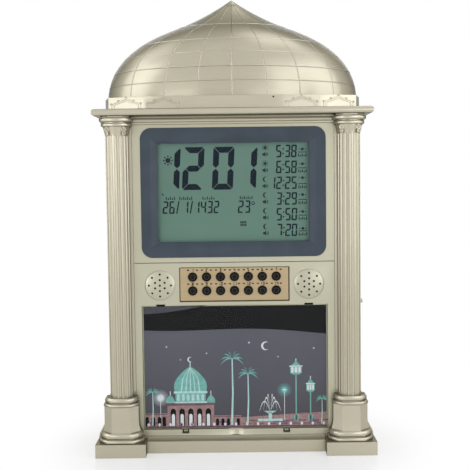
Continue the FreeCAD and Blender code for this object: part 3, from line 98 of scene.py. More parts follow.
# ===== camera, as the photograph was taken =====
CAMERA_PLACE = at(0.8, -616.0, 194.15)
CAMERA_PITCH_DEG = 3.55
CAMERA_ROLL_DEG = 0.69
CAMERA_LENS_MM = 63.65
SENSOR_MM = 36.0
NEAREST = 0.01
FARTHEST = 50.0


def make_camera():
    pitch = math.radians(CAMERA_PITCH_DEG)
    roll = math.radians(CAMERA_ROLL_DEG)
    forward = Vector((0.0, math.cos(pitch), -math.sin(pitch)))
    level = Vector((1.0, 0.0, 0.0))
    upright = level.cross(forward)
    right = level * math.cos(roll) - upright * math.sin(roll)
    up = upright * math.cos(roll) + level * math.sin(roll)
    axes = Matrix((right, up, -forward)).transposed()
    data = bpy.data.cameras.new("camera")
    data.sensor_width = SENSOR_MM
    data.lens = CAMERA_LENS_MM
    data.clip_start = NEAREST
    data.clip_end = FARTHEST
    camera = linked("camera", data)
    camera.matrix_world = Matrix.Translation(CAMERA_PLACE) @ axes.to_4x4()
    bpy.context.scene.camera = camera


# ===== material helpers =====
def srgb(red, green, blue):
    """Linear colour of an sRGB colour given as 0 to 255."""
    def linear(value):
        value /= 255.0
        return value / 12.92 if value <= 0.04045 else ((value + 0.055) / 1.055) ** 2.4
    return (linear(red), linear(green), linear(blue), 1.0)


def tinted(colour, share, extra=0.0):
    """Linear colour of an sRGB triple, made brighter or darker by a share."""
    return tuple(min(1.0, part * share + extra) for part in srgb(*colour)[:3]) + (1.0,)


class Shader:
    """A new node material around one Principled shader."""

    def __init__(self, name, **values):
        self.material = bpy.data.materials.new(name)
        self.material.use_nodes = True
        self.tree = self.material.node_tree
        self.surface = self.tree.nodes["Principled BSDF"]
        for socket, value in values.items():
            self.surface.inputs[socket.replace("_", " ")].default_value = value

    def node(self, kind, inputs=(), **settings):
        return add_node(self.tree, "ShaderNode" + kind, inputs, **settings)

    def feed(self, socket, source):
        """Lets a texture drive a socket of the Principled shader."""
        self.tree.links.new(source, self.surface.inputs[socket])

    def place(self):
        """Position on the object in metres, in the row frame."""
        return self.node("TexCoord").outputs["Object"]

    def stretched(self, *scale):
        return self.node("Mapping", {"Scale": scale, "Vector": self.place()}).outputs["Vector"]

    def height(self, name):
        """Share of the way up a CAD node: 0 at its foot, 1 at its top."""
        low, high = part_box(name)
        split = self.node("SeparateXYZ", {"Vector": self.place()})
        share = self.node("MapRange", {"From Min": low.z, "From Max": high.z, "Value": split.outputs["Z"]})
        return share.outputs["Result"]

    def noise(self, scale, detail=2.0, where=None, roughness=0.5):
        texture = self.node("TexNoise", {"Scale": scale, "Detail": detail, "Roughness": roughness,
                                         "Vector": self.place() if where is None else where})
        return texture.outputs["Fac"]

    def ramp(self, fac, *stops):
        """Colour ramp: stops are (position, colour)."""
        made = self.node("ValToRGB", {"Fac": fac})
        elements = made.color_ramp.elements
        while len(elements) < len(stops):
            elements.new(0.5)
        for element, (position, colour) in zip(elements, stops):
            element.position = position
            element.color = colour
        return made.outputs["Color"]

    def paint(self, fac, *stops):
        """Base colour from a ramp of (position, colour) stops."""
        self.feed("Base Color", self.ramp(fac, *stops))

    def spread(self, fac, low, high):
        return self.node("MapRange", {"To Min": low, "To Max": high, "Value": fac}).outputs["Result"]

    def rough(self, fac, low, high):
        self.feed("Roughness", self.spread(fac, low, high))

    def mottled(self, colour, fac, dark, start=0.3):
        """The colour, multiplied by dark where the texture is low."""
        grades = self.ramp(fac, (start, dark), (1.0 - start, WHITE))
        made = self.node("Mix", {0: 1.0, 6: colour, 7: grades}, data_type="RGBA", blend_type="MULTIPLY")
        return made.outputs[2]

    def relief(self, texture, depth, strength, edge=0.0):
        """Fine relief, in millimetres; edge rounds sharp edges, so that they catch the light."""
        bump = self.node("Bump", {"Strength": strength, "Distance": mm(depth), "Height": texture})
        self.feed("Normal", bump.outputs["Normal"])
        if edge:
            bevel = self.node("Bevel", {"Radius": mm(edge)}, samples=4)
            self.tree.links.new(bevel.outputs["Normal"], bump.inputs["Normal"])

    def show_mix(self, fac, first, second):
        """Shows a mix of two shaders."""
        mixed = self.node("MixShader", {"Fac": fac, 1: first.outputs[0], 2: second.outputs[0]})
        self.tree.links.new(mixed.outputs[0], self.tree.nodes["Material Output"].inputs["Surface"])


# ===== materials =====
CARD_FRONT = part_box("picture_card")[0].y
# colour where the surface turns away: partly metal-flake flop, partly painted shade on the edges
FLOP_AND_EDGE_SHADE = srgb(84, 78, 50)
FLAKE_TINT = srgb(92, 84, 54)
SKY = srgb(97, 94, 100)
BRUSHING = {"Anisotropic": 0.55, "Anisotropic_Rotation": 0.25}


def champagne_paint(name, shade, roughness, brushed=False):
    """Satin champagne paint: fine metal flakes. It darkens where the surface turns away: partly the paint's
    own flop, partly painted shade on the edges.
    """
    shader = Shader(name, Metallic=0.55, IOR=1.45, Specular_IOR_Level=0.2, Specular_Tint=FLAKE_TINT,
                    Coat_Weight=0.09, Coat_Roughness=0.2, **(BRUSHING if brushed else {}))
    facing = shader.node("LayerWeight", {"Blend": 0.35}).outputs["Facing"]
    # darker towards edges that turn away: partly flop, partly painted shade
    flop_and_edge_shade = shader.ramp(facing, (0.2, shade), (0.85, FLOP_AND_EDGE_SHADE))
    cloud = shader.mottled(flop_and_edge_shade, shader.noise(14.0, 3.0), (0.95, 0.95, 0.94, 1.0), 0.35)
    if brushed:
        grain = shader.noise(1.0, 3.0, shader.stretched(60.0, 60.0, 1900.0), 0.6)
        around = shader.node("Tangent", direction_type="RADIAL", axis="Z")
        shader.feed("Tangent", around.outputs["Tangent"])
    else:
        grain = shader.noise(1900.0)
    shader.feed("Base Color", shader.mottled(cloud, grain, (0.94, 0.94, 0.935, 1.0)))
    shader.rough(grain, roughness - 0.05, roughness + 0.05)
    shader.relief(grain, 0.012, 0.3, 0.5 if brushed else 0.28)
    return shader.material


def moulded_plastic(name, colour, roughness, grain=0.05, edge=0.2, gloss=0.3):
    shader = Shader(name, IOR=1.46, Specular_IOR_Level=gloss)
    shader.paint(shader.noise(60.0, 4.0), (0.3, tinted(colour, 0.88)), (0.7, tinted(colour, 1.12, 0.002)))
    shader.rough(shader.noise(450.0, 3.0), roughness - 0.05, roughness + 0.08)
    shader.relief(shader.noise(2200.0), grain, 0.3, edge)
    return shader.material


def clear_sheet(name, tint, roughness, haze):
    """Clear moulded sheet: see-through straight on, mirroring at a glance."""
    shader = Shader(name, IOR=1.49, Base_Color=haze)
    shader.rough(shader.noise(40.0), roughness, roughness + 0.05)
    through = shader.node("BsdfTransparent", {"Color": tint})
    facing = shader.node("LayerWeight", {"Blend": 0.5}).outputs["Facing"]
    steep = shader.node("Math", {0: facing, 1: 5.0}, operation="POWER").outputs[0]
    shader.show_mix(shader.spread(steep, 0.024, 0.9), through, shader.surface)
    return shader.material


def lcd_reflector():
    """Reflective display: green-grey, palest towards the top."""
    shader = Shader("lcd", IOR=1.5, Specular_IOR_Level=0.25)
    tone = shader.ramp(shader.height("display_window"), (0.0, srgb(112, 143, 125)),
                       (0.6, srgb(110, 140, 123)), (1.0, srgb(115, 144, 128)))
    shader.feed("Base Color", shader.mottled(tone, shader.noise(5200.0), (0.94, 0.94, 0.94, 1.0)))
    shader.rough(shader.noise(2600.0), 0.45, 0.6)
    shader.relief(shader.noise(3800.0, 1.0), 0.01, 0.25)
    return shader.material


def printed_ink(name, colour, variation=0.12, roughness=0.42):
    shader = Shader(name, IOR=1.45, Specular_IOR_Level=0.2)
    shader.paint(shader.noise(420.0, 3.0), (0.35, tinted(colour, 1.0 - variation)),
                 (0.65, tinted(colour, 1.0 + variation)))
    shader.rough(shader.noise(1500.0), roughness - 0.06, roughness + 0.06)
    return shader.material


def night_sky():
    """Printed card: a charcoal evening sky, darker and warmer low down."""
    shader = Shader("printed_card", IOR=1.45, Specular_IOR_Level=0.3, Roughness=0.45)
    tone = shader.ramp(shader.height("picture_card"), (0.0, srgb(86, 82, 86)), (0.35, SKY),
                       (0.75, srgb(104, 102, 108)), (1.0, srgb(96, 94, 99)))
    shader.feed("Base Color", shader.mottled(tone, shader.noise(18.0, 4.0), (0.90, 0.90, 0.92, 1.0)))
    return shader.material


def lamp_glow(name, x, z, radius, bright):
    """Printed halo: bright in the middle, fading to the colour of the sky."""
    shader = Shader(name, IOR=1.45, Specular_IOR_Level=0.3, Roughness=0.45)
    apart = shader.node("VectorMath", {0: shader.place(), 1: (mm(x), CARD_FRONT, mm(z))},
                        operation="DISTANCE")
    reach = shader.node("MapRange", {"From Max": mm(radius), "Value": apart.outputs["Value"]})
    middle = tuple((near + 2.0 * far) / 3.0 for near, far in zip(bright, SKY))
    shader.paint(reach.outputs["Result"], (0.0, bright), (0.28, bright), (0.5, middle), (1.0, SKY))
    return shader.material


def brushed_plate(name, colour, roughness):
    """Anodised sheet with a fine level grain."""
    shader = Shader(name, Metallic=0.45, IOR=1.45)
    grain = shader.noise(1.0, 3.0, shader.stretched(40.0, 900.0, 5200.0), 0.6)
    shader.paint(grain, (0.3, tinted(colour, 0.88)), (0.7, tinted(colour, 1.10)))
    shader.rough(grain, roughness - 0.06, roughness + 0.08)
    shader.relief(grain, 0.01, 0.3, 0.15)
    return shader.material


def circuit_board():
    """Green mask over copper tracks."""
    shader = Shader("circuit_board", Roughness=0.35, IOR=1.5)
    tracks = shader.node("TexBrick", {"Scale": 320.0, "Mortar Size": 0.035, "Color1": srgb(34, 92, 52),
                                      "Color2": srgb(30, 84, 48), "Mortar": srgb(52, 120, 66),
                                      "Vector": shader.place()})
    shader.feed("Base Color", tracks.outputs["Color"])
    shader.relief(tracks.outputs["Fac"], 0.03, 0.4)
    return shader.material


def felted_paper(name, colour):
    shader = Shader(name, Sheen_Weight=0.2)
    fibres = shader.noise(2400.0, 5.0, None, 0.7)
    shader.paint(fibres, (0.35, tinted(colour, 1.0)), (0.7, tinted(colour, 1.5, 0.004)))
    shader.rough(fibres, 0.75, 0.95)
    shader.relief(fibres, 0.08, 0.6)
    return shader.material


def steel(name, colour, roughness):
    shader = Shader(name, Metallic=1.0)
    wear = shader.noise(160.0, 4.0)
    shader.paint(wear, (0.3, tinted(colour, 0.8)), (0.7, tinted(colour, 1.0)))
    shader.rough(wear, roughness - 0.05, roughness + 0.12)
    shader.relief(shader.noise(1800.0), 0.01, 0.3)
    return shader.material


PAINT = champagne_paint("champagne_paint", srgb(193, 187, 164), 0.24)
PANEL_PAINT = champagne_paint("champagne_panel", srgb(188, 185, 161), 0.34)
# a touch darker than the case paint: painted shade on the dome
DOME_PAINT = champagne_paint("champagne_dome", srgb(189, 183, 160), 0.30, True)
# lighter copy of the paint for the dome's raised lines: painted highlight
LINE_HIGHLIGHT_PAINT = champagne_paint("champagne_lines_painted_highlight", srgb(214, 208, 188), 0.24)
FINISHES = {
    "champagne_paint": PAINT,
    "champagne_panel": PANEL_PAINT,
    "clear_window": clear_sheet("clear_window", (0.97, 0.98, 0.98, 1.0), 0.04, srgb(60, 64, 68)),
    "lcd": lcd_reflector(),
    "circuit_board": circuit_board(),
    "gold_plate": brushed_plate("gold_plate", (176, 156, 119), 0.42),
    "printed_card": night_sky(),
    "bright_steel": steel("bright_steel", (205, 203, 198), 0.32),
    "cone_paper": felted_paper("cone_paper", (40, 40, 42)),
}
PLASTICS = (                # name, colour, roughness, then grain, edge and gloss where they differ
    ("slate_bezel", (59, 68, 76), 0.42, 0.02),
    ("white_plastic", (226, 226, 220), 0.5),
    ("grey_rubber", (90, 90, 96), 0.75, 0.08),
    ("black_plastic", (30, 30, 32), 0.45),
    ("cell_jacket", (52, 66, 108), 0.28, 0.01),
    ("black_keys", (20, 17, 16), 0.2, 0.015, 0.12, 0.12),
)
for plastic in PLASTICS:
    FINISHES[plastic[0]] = moulded_plastic(*plastic)


# ===== CAD nodes: finish and shading =====
WELD_WITHIN = mm(0.002)
SMOOTH_UNDER_DEG = 32.0
RING_SMOOTH_UNDER_DEG = 55.0
RING_ZONES = ((9.8, 16.6), (35.6, 41.6), (235.0, 241.0))   # heights of the columns' rings, mm


def smoothing_group(name, zones=()):
    """Geometry nodes that shade smoothly across low angles only.

    Between the heights in zones, edges up to RING_SMOOTH_UNDER_DEG are smooth too.
    """
    group = bpy.data.node_groups.new(name, "GeometryNodeTree")
    for flow in ("INPUT", "OUTPUT"):
        group.interface.new_socket("Geometry", in_out=flow, socket_type="NodeSocketGeometry")
    start = add_node(group, "NodeGroupInput")
    weld = add_node(group, "GeometryNodeMergeByDistance",
                    {"Geometry": start.outputs[0], "Distance": WELD_WITHIN})
    smooth = add_node(group, "GeometryNodeSetShadeSmooth", {"Geometry": weld.outputs["Geometry"]})
    angle = add_node(group, "GeometryNodeInputMeshEdgeAngle").outputs["Unsigned Angle"]
    place = add_node(group, "GeometryNodeInputPosition").outputs["Position"]
    height = add_node(group, "ShaderNodeSeparateXYZ", {"Vector": place}).outputs["Z"]

    def edges_over(degrees):
        return add_node(group, "FunctionNodeCompare", {"A": angle, "B": math.radians(degrees)},
                        operation="GREATER_THAN").outputs["Result"]

    chosen = edges_over(SMOOTH_UNDER_DEG)
    for low, high in zones:
        inside = add_node(group, "FunctionNodeCompare",
                          {"A": height, "B": mm((low + high) / 2), "Epsilon": mm((high - low) / 2)},
                          operation="EQUAL")
        choice = add_node(group, "GeometryNodeSwitch",
                          {"Switch": inside.outputs["Result"], "False": chosen,
                           "True": edges_over(RING_SMOOTH_UNDER_DEG)}, input_type="BOOLEAN")
        chosen = choice.outputs["Output"]
    sharp = add_node(group, "GeometryNodeSetShadeSmooth",
                     {"Geometry": smooth.outputs["Geometry"], "Selection": chosen, "Shade Smooth": False},
                     domain="EDGE")
    add_node(group, "NodeGroupOutput", {0: sharp.outputs["Geometry"]})
    return group


SMOOTHING = smoothing_group("smooth_low_angles")
RING_SMOOTHING = smoothing_group("smooth_rings", RING_ZONES)


def finish_nodes():
    for row in frame["record"]["subparts"]:
        piece = NODES[row["node"]]
        finish = DOME_PAINT if row["node"] == "dome_shell" else FINISHES[row["material_slot"]]
        piece.data.materials.clear()
        piece.data.materials.append(finish)
        modifier = piece.modifiers.new("smooth", "NODES")
        modifier.node_group = RING_SMOOTHING if piece.name.endswith("column") else SMOOTHING


# ===== pieces: rods, beads, ink, print =====
def new_piece(name, mesh, finish, body="housing"):
    """Visible piece of the clock, which moves with a body."""
    piece = linked(name, mesh)
    mesh.materials.append(finish)
    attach(piece, body)


def mesh_of(name, shape):
    """Mesh made from a bmesh, which is freed."""
    mesh = bpy.data.meshes.new(name)
    shape.to_mesh(mesh)
    shape.free()
    return mesh


def evaluated(holder):
    """Smooth mesh of a curve or of an object with modifiers, which is removed."""
    bpy.context.view_layer.update()
    mesh = bpy.data.meshes.new_from_object(holder.evaluated_get(bpy.context.evaluated_depsgraph_get()))
    bpy.data.objects.remove(holder)
    for face in mesh.polygons:
        face.use_smooth = True
    return mesh


def tube(name, points, radius, finish, body="housing", closed=False):
    """Round rod along points, in metres."""
    curve = bpy.data.curves.new(name, "CURVE")
    curve.dimensions = "3D"
    curve.bevel_depth = radius
    curve.bevel_resolution = 3
    curve.use_fill_caps = True
    spline = curve.splines.new("POLY")
    spline.points.add(len(points) - 1)
    spline.use_cyclic_u = closed
    for knot, point in zip(spline.points, points):
        knot.co = (point.x, point.y, point.z, 1.0)
    new_piece(name, evaluated(linked(name, curve)), finish, body)


def beads(name, places, radius, depth, finish, body="housing"):
    """Small round beads, flattened front to back by depth."""
    balls = bmesh.new()
    for place in places:
        shape = Matrix.Translation(place) @ Matrix.Diagonal((1.0, depth, 1.0, 1.0))
        bmesh.ops.create_icosphere(balls, subdivisions=3, radius=radius, matrix=shape)
    for face in balls.faces:
        face.smooth = True
    new_piece(name, mesh_of(name, balls), finish, body)


class FlatArt:
    """Flat shapes in an upright plane, drawn in (x, z) millimetres."""

    def __init__(self, name, y, thickness):
        self.name = name
        self.y = y
        self.thickness = thickness
        self.mesh = bmesh.new()

    def polygon(self, points):
        corners = [self.mesh.verts.new((mm(x), self.y, mm(z))) for x, z in points]
        self.mesh.faces.new(corners)

    def bar(self, x0, z0, x1, z1):
        self.polygon([(x0, z0), (x1, z0), (x1, z1), (x0, z1)])

    def arc(self, cx, cz, radius, width, start_deg, end_deg, steps=18):
        spokes = sweep(start_deg + (end_deg - start_deg) * i / steps for i in range(steps + 1))
        for first, second in zip(spokes, spokes[1:]):
            corners = ((radius, first), (radius, second), (radius - width, second), (radius - width, first))
            self.polygon([(cx + reach * cos, cz + reach * sin) for reach, (cos, sin) in corners])

    def disc(self, cx, cz, radius, steps):
        self.polygon([(cx + radius * cos, cz + radius * sin) for cos, sin in circle(steps)])

    def finished(self, finish, slot):
        """Gives the shapes their thickness, towards the front, and puts them on the housing."""
        bmesh.ops.remove_doubles(self.mesh, verts=self.mesh.verts, dist=1e-7)
        for face in self.mesh.faces:
            if face.normal.y > 0:
                face.normal_flip()
        sheet = bmesh.ops.extrude_face_region(self.mesh, geom=list(self.mesh.faces))
        lifted = [item for item in sheet["geom"] if isinstance(item, bmesh.types.BMVert)]
        bmesh.ops.translate(self.mesh, verts=lifted, vec=(0.0, -self.thickness, 0.0))
        bmesh.ops.recalc_face_normals(self.mesh, faces=self.mesh.faces)
        new_piece(self.name, mesh_of(self.name, self.mesh), finish)


# ===== display =====
INK_T = mm(0.03)
DISPLAY_INK = printed_ink("display_ink", (12, 24, 34), 0.10, 0.5)
DISPLAY_SOFT_INK = printed_ink("display_soft_ink", (34, 46, 50), 0.10, 0.5)
SEGMENTS = {                     # a on top, then clockwise to f, g in the middle
    "0": "abcdef", "1": "bc", "2": "abged", "3": "abgcd", "4": "fgbc", "5": "afgcd",
    "6": "afgedc", "7": "abc", "8": "abcdefg", "9": "abcdfg", " ": "",
}


class Display(FlatArt):
    """Seven-segment figures, their lower left corners at (x, z), and small signs."""

    LEAN = 0.055        # sideways per millimetre of height

    def figure(self, digit, x, z, width, height, stroke):
        gap = stroke * 0.06
        half = stroke / 2
        cut = stroke * 0.3
        middle = height / 2
        right = width - gap
        level = [(cut + gap, 0.0), (right - cut, 0.0), (right - cut / 2, cut / 2),
                 (right - stroke, stroke), (stroke + gap, stroke), (cut / 2 + gap, cut / 2)]
        bar = [(half + gap, middle), (stroke + gap, middle - half), (right - stroke, middle - half),
               (right - half, middle), (right - stroke, middle + half), (stroke + gap, middle + half)]
        post = [(0.0, cut + gap), (cut / 2, cut / 2 + gap), (stroke, stroke + gap),
                (stroke, middle - half - gap), (half, middle - gap), (0.0, middle - half - gap)]
        for name in SEGMENTS[digit]:
            corners = {"a": level, "d": level, "g": bar}.get(name, post)
            if name in "abf":
                corners = [(px, height - pz) for px, pz in corners]
            if name in "bc":
                corners = [(width - px, pz) for px, pz in corners]
            self.polygon([(x + px + pz * self.LEAN, z + pz) for px, pz in corners])

    def figures(self, digits, places, z, *size):
        for digit, x in zip(digits, places):
            self.figure(digit, x, z, *size)

    def slash(self, x, z, width, height, stroke):
        self.polygon([(x, z), (x + stroke, z), (x + width, z + height),
                      (x + width - stroke, z + height)])

    def colon(self, x, z, height, radius):
        for share in (0.3, 0.68):
            self.disc(x + height * share * self.LEAN, z + height * share, radius, 8)

    def sun(self, x, z, radius):
        self.disc(x, z, radius * 0.52, 16)
        for cos, sin in circle(8):
            ray = Vector((cos, sin)) * radius
            across = Vector((-sin, cos)) * radius * 0.15
            corners = (ray * 0.7 - across, ray - across, ray + across, ray * 0.7 + across)
            self.polygon([(x + corner.x, z + corner.y) for corner in corners])

    def moon(self, x, z, radius):
        outer = sweep(range(60, 301, 20))
        inner = [(0.26 + 0.72 * cos, 0.866 * sin / 0.95) for cos, sin in sweep(range(250, 105, -20))]
        self.polygon([(x + px * radius, z + pz * radius) for px, pz in outer + inner])

    def speaker(self, x, z, size):
        upper = [(0.05, 0.45), (-0.25, 0.2), (-0.5, 0.2)]
        outline = [(px, -pz) for px, pz in reversed(upper)] + upper
        self.polygon([(x + px * size, z + pz * size) for px, pz in outline])
        for radius in (0.3, 0.5):
            self.arc(x, z, size * radius, size * 0.12, -48, 48, 8)

    def ticks(self, x, z, width, height, count):
        """Row of short upright bars: a plain scale."""
        for index in range(count):
            left = x + (width - TICK_W) * index / (count - 1)
            self.bar(left, z, left + TICK_W, z + height * (0.62 if index % 2 else 1.0))

    def sun_over_line(self, x, z, width, lift, radius):
        """Sun standing at a height over a level line: the time of day without words."""
        middle = x + width / 2
        self.bar(x, z, x + width, z + 0.55)
        self.disc(middle, z + 1.2 + lift, radius, 12)
        for side in (-1, 1):
            ray = middle + side * (radius + 1.0)
            self.bar(ray - 0.45, z + 0.9 + lift, ray + 0.45, z + 1.5 + lift)


LCD_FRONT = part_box("lcd_glass")[0].y
TIME = "1201"
TIME_X = (-54.4, -37.2, -15.6, 1.0)
TIME_Z = 189.8
TIME_H = 30.8
TIME_W = 15.2
TIME_STROKE = 4.3
SMALL_H = 9.0
SMALL_W = 3.95
SMALL_STROKE = 1.1
DATE = "261143223"
DATE_X = (-51.4, -46.7, -36.9, -28.8, -24.0, -19.3, -14.6, 3.0, 7.9)
DATE_SLASHES_X = (-41.6, -31.8)
DATE_Z = 172.8
DEGREE_SPOT = (14.2, 179.7)
TICK_W = 0.75
DATE_SCALES = ((-48.8, 6.6, 5), (-39.2, 9.4, 7), (-22.4, 8.6, 6), (4.6, 9.2, 7))   # x, width, ticks
LABEL_Z = 182.7
CALENDAR_SPOT = (4.8, 163.3)
ALARM_X = (26.2, 30.8, 37.1, 41.7)
ALARM_Z = 155.6
ALARM_PITCH = 11.38
ALARMS = (" 720", " 550", " 329", "1225", " 658", " 538")
SUN_LIFTS = (0.9, 1.7, 2.6, 3.4, 2.0, 1.2)
MORNING_ROWS = 2


def big_figures():
    art = Display("display_time", LCD_FRONT, INK_T)
    art.figures(TIME, TIME_X, TIME_Z, TIME_W, TIME_H, TIME_STROKE)
    art.finished(DISPLAY_INK, "lcd")


def small_figures():
    art = Display("display_small_figures", LCD_FRONT, INK_T)
    art.figures(DATE, DATE_X, DATE_Z, SMALL_W, SMALL_H, SMALL_STROKE)
    for x in DATE_SLASHES_X:
        art.slash(x, DATE_Z, 2.6, SMALL_H, 0.9)
    art.arc(*DEGREE_SPOT, 1.3, 0.55, 0, 360)
    for row, digits in enumerate(ALARMS):
        z = ALARM_Z + row * ALARM_PITCH
        art.figures(digits, ALARM_X, z, SMALL_W, SMALL_H, SMALL_STROKE)
        art.colon((ALARM_X[1] + SMALL_W + ALARM_X[2]) / 2, z, SMALL_H, 0.6)
    art.finished(DISPLAY_INK, "lcd")


def display_marks():
    """Small pictures where the words were: sun, moon, loudspeaker, scales."""
    art = Display("display_marks", LCD_FRONT, INK_T)
    art.sun(-46.9, TIME_Z + 21.4, 3.6)
    for x, width, count in DATE_SCALES:
        art.ticks(x, LABEL_Z, width, 2.3, count)
    art.arc(-50.2, 187.6, 1.7, 0.75, 180, 270, 6)
    for cell in range(8):
        x = CALENDAR_SPOT[0] + cell % 4 * 1.15
        z = CALENDAR_SPOT[1] + cell // 4 * 2.0
        art.bar(x, z, x + 0.85, z + 1.6)
    for row in range(len(ALARMS)):
        z = ALARM_Z + row * ALARM_PITCH
        if row >= len(ALARMS) - MORNING_ROWS:
            art.sun(23.2, z + 7.1, 2.2)
        else:
            art.moon(23.4, z + 7.1, 2.1)
        art.speaker(23.2, z + 2.3, 4.0)
        art.sun_over_line(47.0, z + 3.4, 6.0, SUN_LIFTS[row], 1.05)
        art.ticks(47.0, z + 0.4, 6.0, 2.1, 5)
    art.finished(DISPLAY_SOFT_INK, "lcd")


# ===== key plate print =====
# dark print for the key labels; the same ink draws the painted shade round the key plate
LABEL_INK_AND_EDGE_SHADE = printed_ink("label_ink_and_edge_shade", (26, 20, 15), 0.10, 0.5)
KEY_RING = moulded_plastic("key_ring", (62, 56, 54), 0.16, 0.01, 0.1, 0.2)
PLATE_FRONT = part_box("key_plate")[0].y
KEY_NAMES = ["key_%02d" % number for number in range(1, 15)]
KEY_R = 3.1
CAP_RING_R = 1.75
CAP_RING_ROD_R = 0.24
CAP_BUTTON_R = 0.95
CAP_BUTTON_DEPTH = 0.4
LABEL_H = 2.4
LABEL_PITCH = 1.9
LABEL_GAP = 0.4
LABEL_STROKE = 0.62
LABEL_RISE = 0.65
LABEL_DASH = 1.5
LABEL_DASH_Z = (0.75, 1.65)
LABEL_AWAY = 3.2
# painted shade round the key plate, mm
EDGE_SHADE_IN = 0.1
EDGE_SHADE_BOTTOM = 0.65
EDGE_SHADE_RIGHT = 0.6
EDGE_SHADE_LEFT = 0.4
EDGE_SHADE_TOP = 0.25


def key_labels():
    """Plain number over each key, with a dash on either side."""
    art = Display("key_labels", PLATE_FRONT, INK_T)
    art.LEAN = 0.0
    for number, name in enumerate(KEY_NAMES, 1):
        low, high = box_mm(name)
        z = (low.z + high.z) / 2 + KEY_R + LABEL_RISE
        middle = (low.x + high.x) / 2
        digits = str(number)
        start = middle - (len(digits) * LABEL_PITCH - LABEL_GAP) / 2
        places = [start + index * LABEL_PITCH for index in range(len(digits))]
        art.figures(digits, places, z, LABEL_PITCH - LABEL_GAP, LABEL_H, LABEL_STROKE)
        for side in (-1, 1):
            left = middle + side * LABEL_AWAY - LABEL_DASH / 2
            art.bar(left, z + LABEL_DASH_Z[0], left + LABEL_DASH, z + LABEL_DASH_Z[1])
    art.finished(LABEL_INK_AND_EDGE_SHADE, "gold_plate")


def plate_border():
    """Painted shade round the key plate: a dark line, heavier below and on the right."""
    low, high = box_mm("key_plate")
    x0, x1 = low.x + EDGE_SHADE_IN, high.x - EDGE_SHADE_IN
    z0, z1 = low.z + EDGE_SHADE_IN, high.z - EDGE_SHADE_IN
    art = FlatArt("plate_border", PLATE_FRONT, INK_T)
    art.bar(x0, z0, x1, z0 + EDGE_SHADE_BOTTOM)
    art.bar(x1 - EDGE_SHADE_RIGHT, z0 + EDGE_SHADE_BOTTOM, x1, z1)
    art.bar(x0, z0 + EDGE_SHADE_BOTTOM, x0 + EDGE_SHADE_LEFT, z1)
    art.bar(x0 + EDGE_SHADE_LEFT, z1 - EDGE_SHADE_TOP, x1 - EDGE_SHADE_RIGHT, z1)
    art.finished(LABEL_INK_AND_EDGE_SHADE, "gold_plate")


def key_caps():
    """Polished ring and button in the dish of each key."""
    for name in KEY_NAMES:
        low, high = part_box(name)
        middle = Vector(((low.x + high.x) / 2, low.y, (low.z + high.z) / 2))
        ring = [middle + Vector((cos, 0.0, sin)) * mm(CAP_RING_R) for cos, sin in circle(24)]
        tube(name + "_ring", ring, mm(CAP_RING_ROD_R), KEY_RING, name, closed=True)
        beads(name + "_button", [middle], mm(CAP_BUTTON_R), CAP_BUTTON_DEPTH, FINISHES["black_keys"],
              name)


# ===== ornaments and small dark openings =====
COLUMN_X = 82.4
COLUMN_AXIS_Y = -22.0
BELL_R = 9.4
FACE_Y = -20.0
CURL_TURNS = 2.15
CURL_SIZE = 3.1
CURL_AWAY = 6.4
CURL_Z = 231.9
CURL_R = 0.5
CURL_START_DEG = 48.0


def euler_curve(size, reach, steps=56):
    """S-shaped scroll: a curve that winds up at both ends, upright, middle at the origin."""
    half = []
    x = z = 0.0
    step = reach / steps
    for index in range(steps):
        along = (index + 0.5) * step
        angle = math.pi / 2 * along * along + math.radians(CURL_START_DEG)
        x += math.cos(angle) * step
        z += math.sin(angle) * step
        half.append((x * size, z * size))
    return [(-px, -pz) for px, pz in reversed(half)] + [(0.0, 0.0)] + half


def capital_curls():
    around = BELL_R + CURL_R * 0.6
    for label, sign in SIDES:
        for mark, side in (("outer", -1), ("inner", 1)):
            path = []
            for u, v in euler_curve(CURL_SIZE, CURL_TURNS):
                turn = side * (CURL_AWAY + u) / around
                path.append(at(sign * COLUMN_X + around * math.sin(turn),
                               COLUMN_AXIS_Y - around * math.cos(turn), CURL_Z + v))
            tube("%s_capital_curl_%s" % (label, mark), path, mm(CURL_R), PAINT)


ARCH_FACES = (((35.2, -30.0), (62.3, -27.6)), ((62.3, -27.6), (88.0, -21.0)))
ARCH_SPOTS = ((-11.2, 3.5), (-5.7, 5.7), (0.0, 8.0), (5.7, 5.7), (11.2, 3.5))
ARCH_SILL_Z = 247.6
BEAD_R = 0.8
BEAD_DEPTH = 0.8


def parapet_beads():
    places = []
    for (ax, ay), (bx, by) in ARCH_FACES:
        along = Vector((bx - ax, by - ay)).normalized()
        middle = Vector(((ax + bx) / 2, (ay + by) / 2))
        for sign in (-1, 1):
            for u, v in ARCH_SPOTS:
                spot = middle + along * u
                places.append(at(sign * spot.x, spot.y, ARCH_SILL_Z + v))
    beads("parapet_beads", places, mm(BEAD_R), BEAD_DEPTH, PAINT)


DOME_AXIS_Y = 33.6
DOME_FOOT_Z = 255.9
DOME_TOP_Z = 334.8
LINE_TURNS = (0.0, 22.6, 43.0, 62.6)
LINE_SHARES = (0.143, 0.272, 0.412, 0.542, 0.716)
LINE_R = 0.28
LINE_LIFT = 0.34
LINE_FOOT_GAP = 0.4
LINE_TIP_GAP = 6.0
LINE_END_DEG = 88.0
LINE_STEPS = 60
ROW_STEPS = 120
RAY_START = 0.2          # metres from the axis, outside the dome


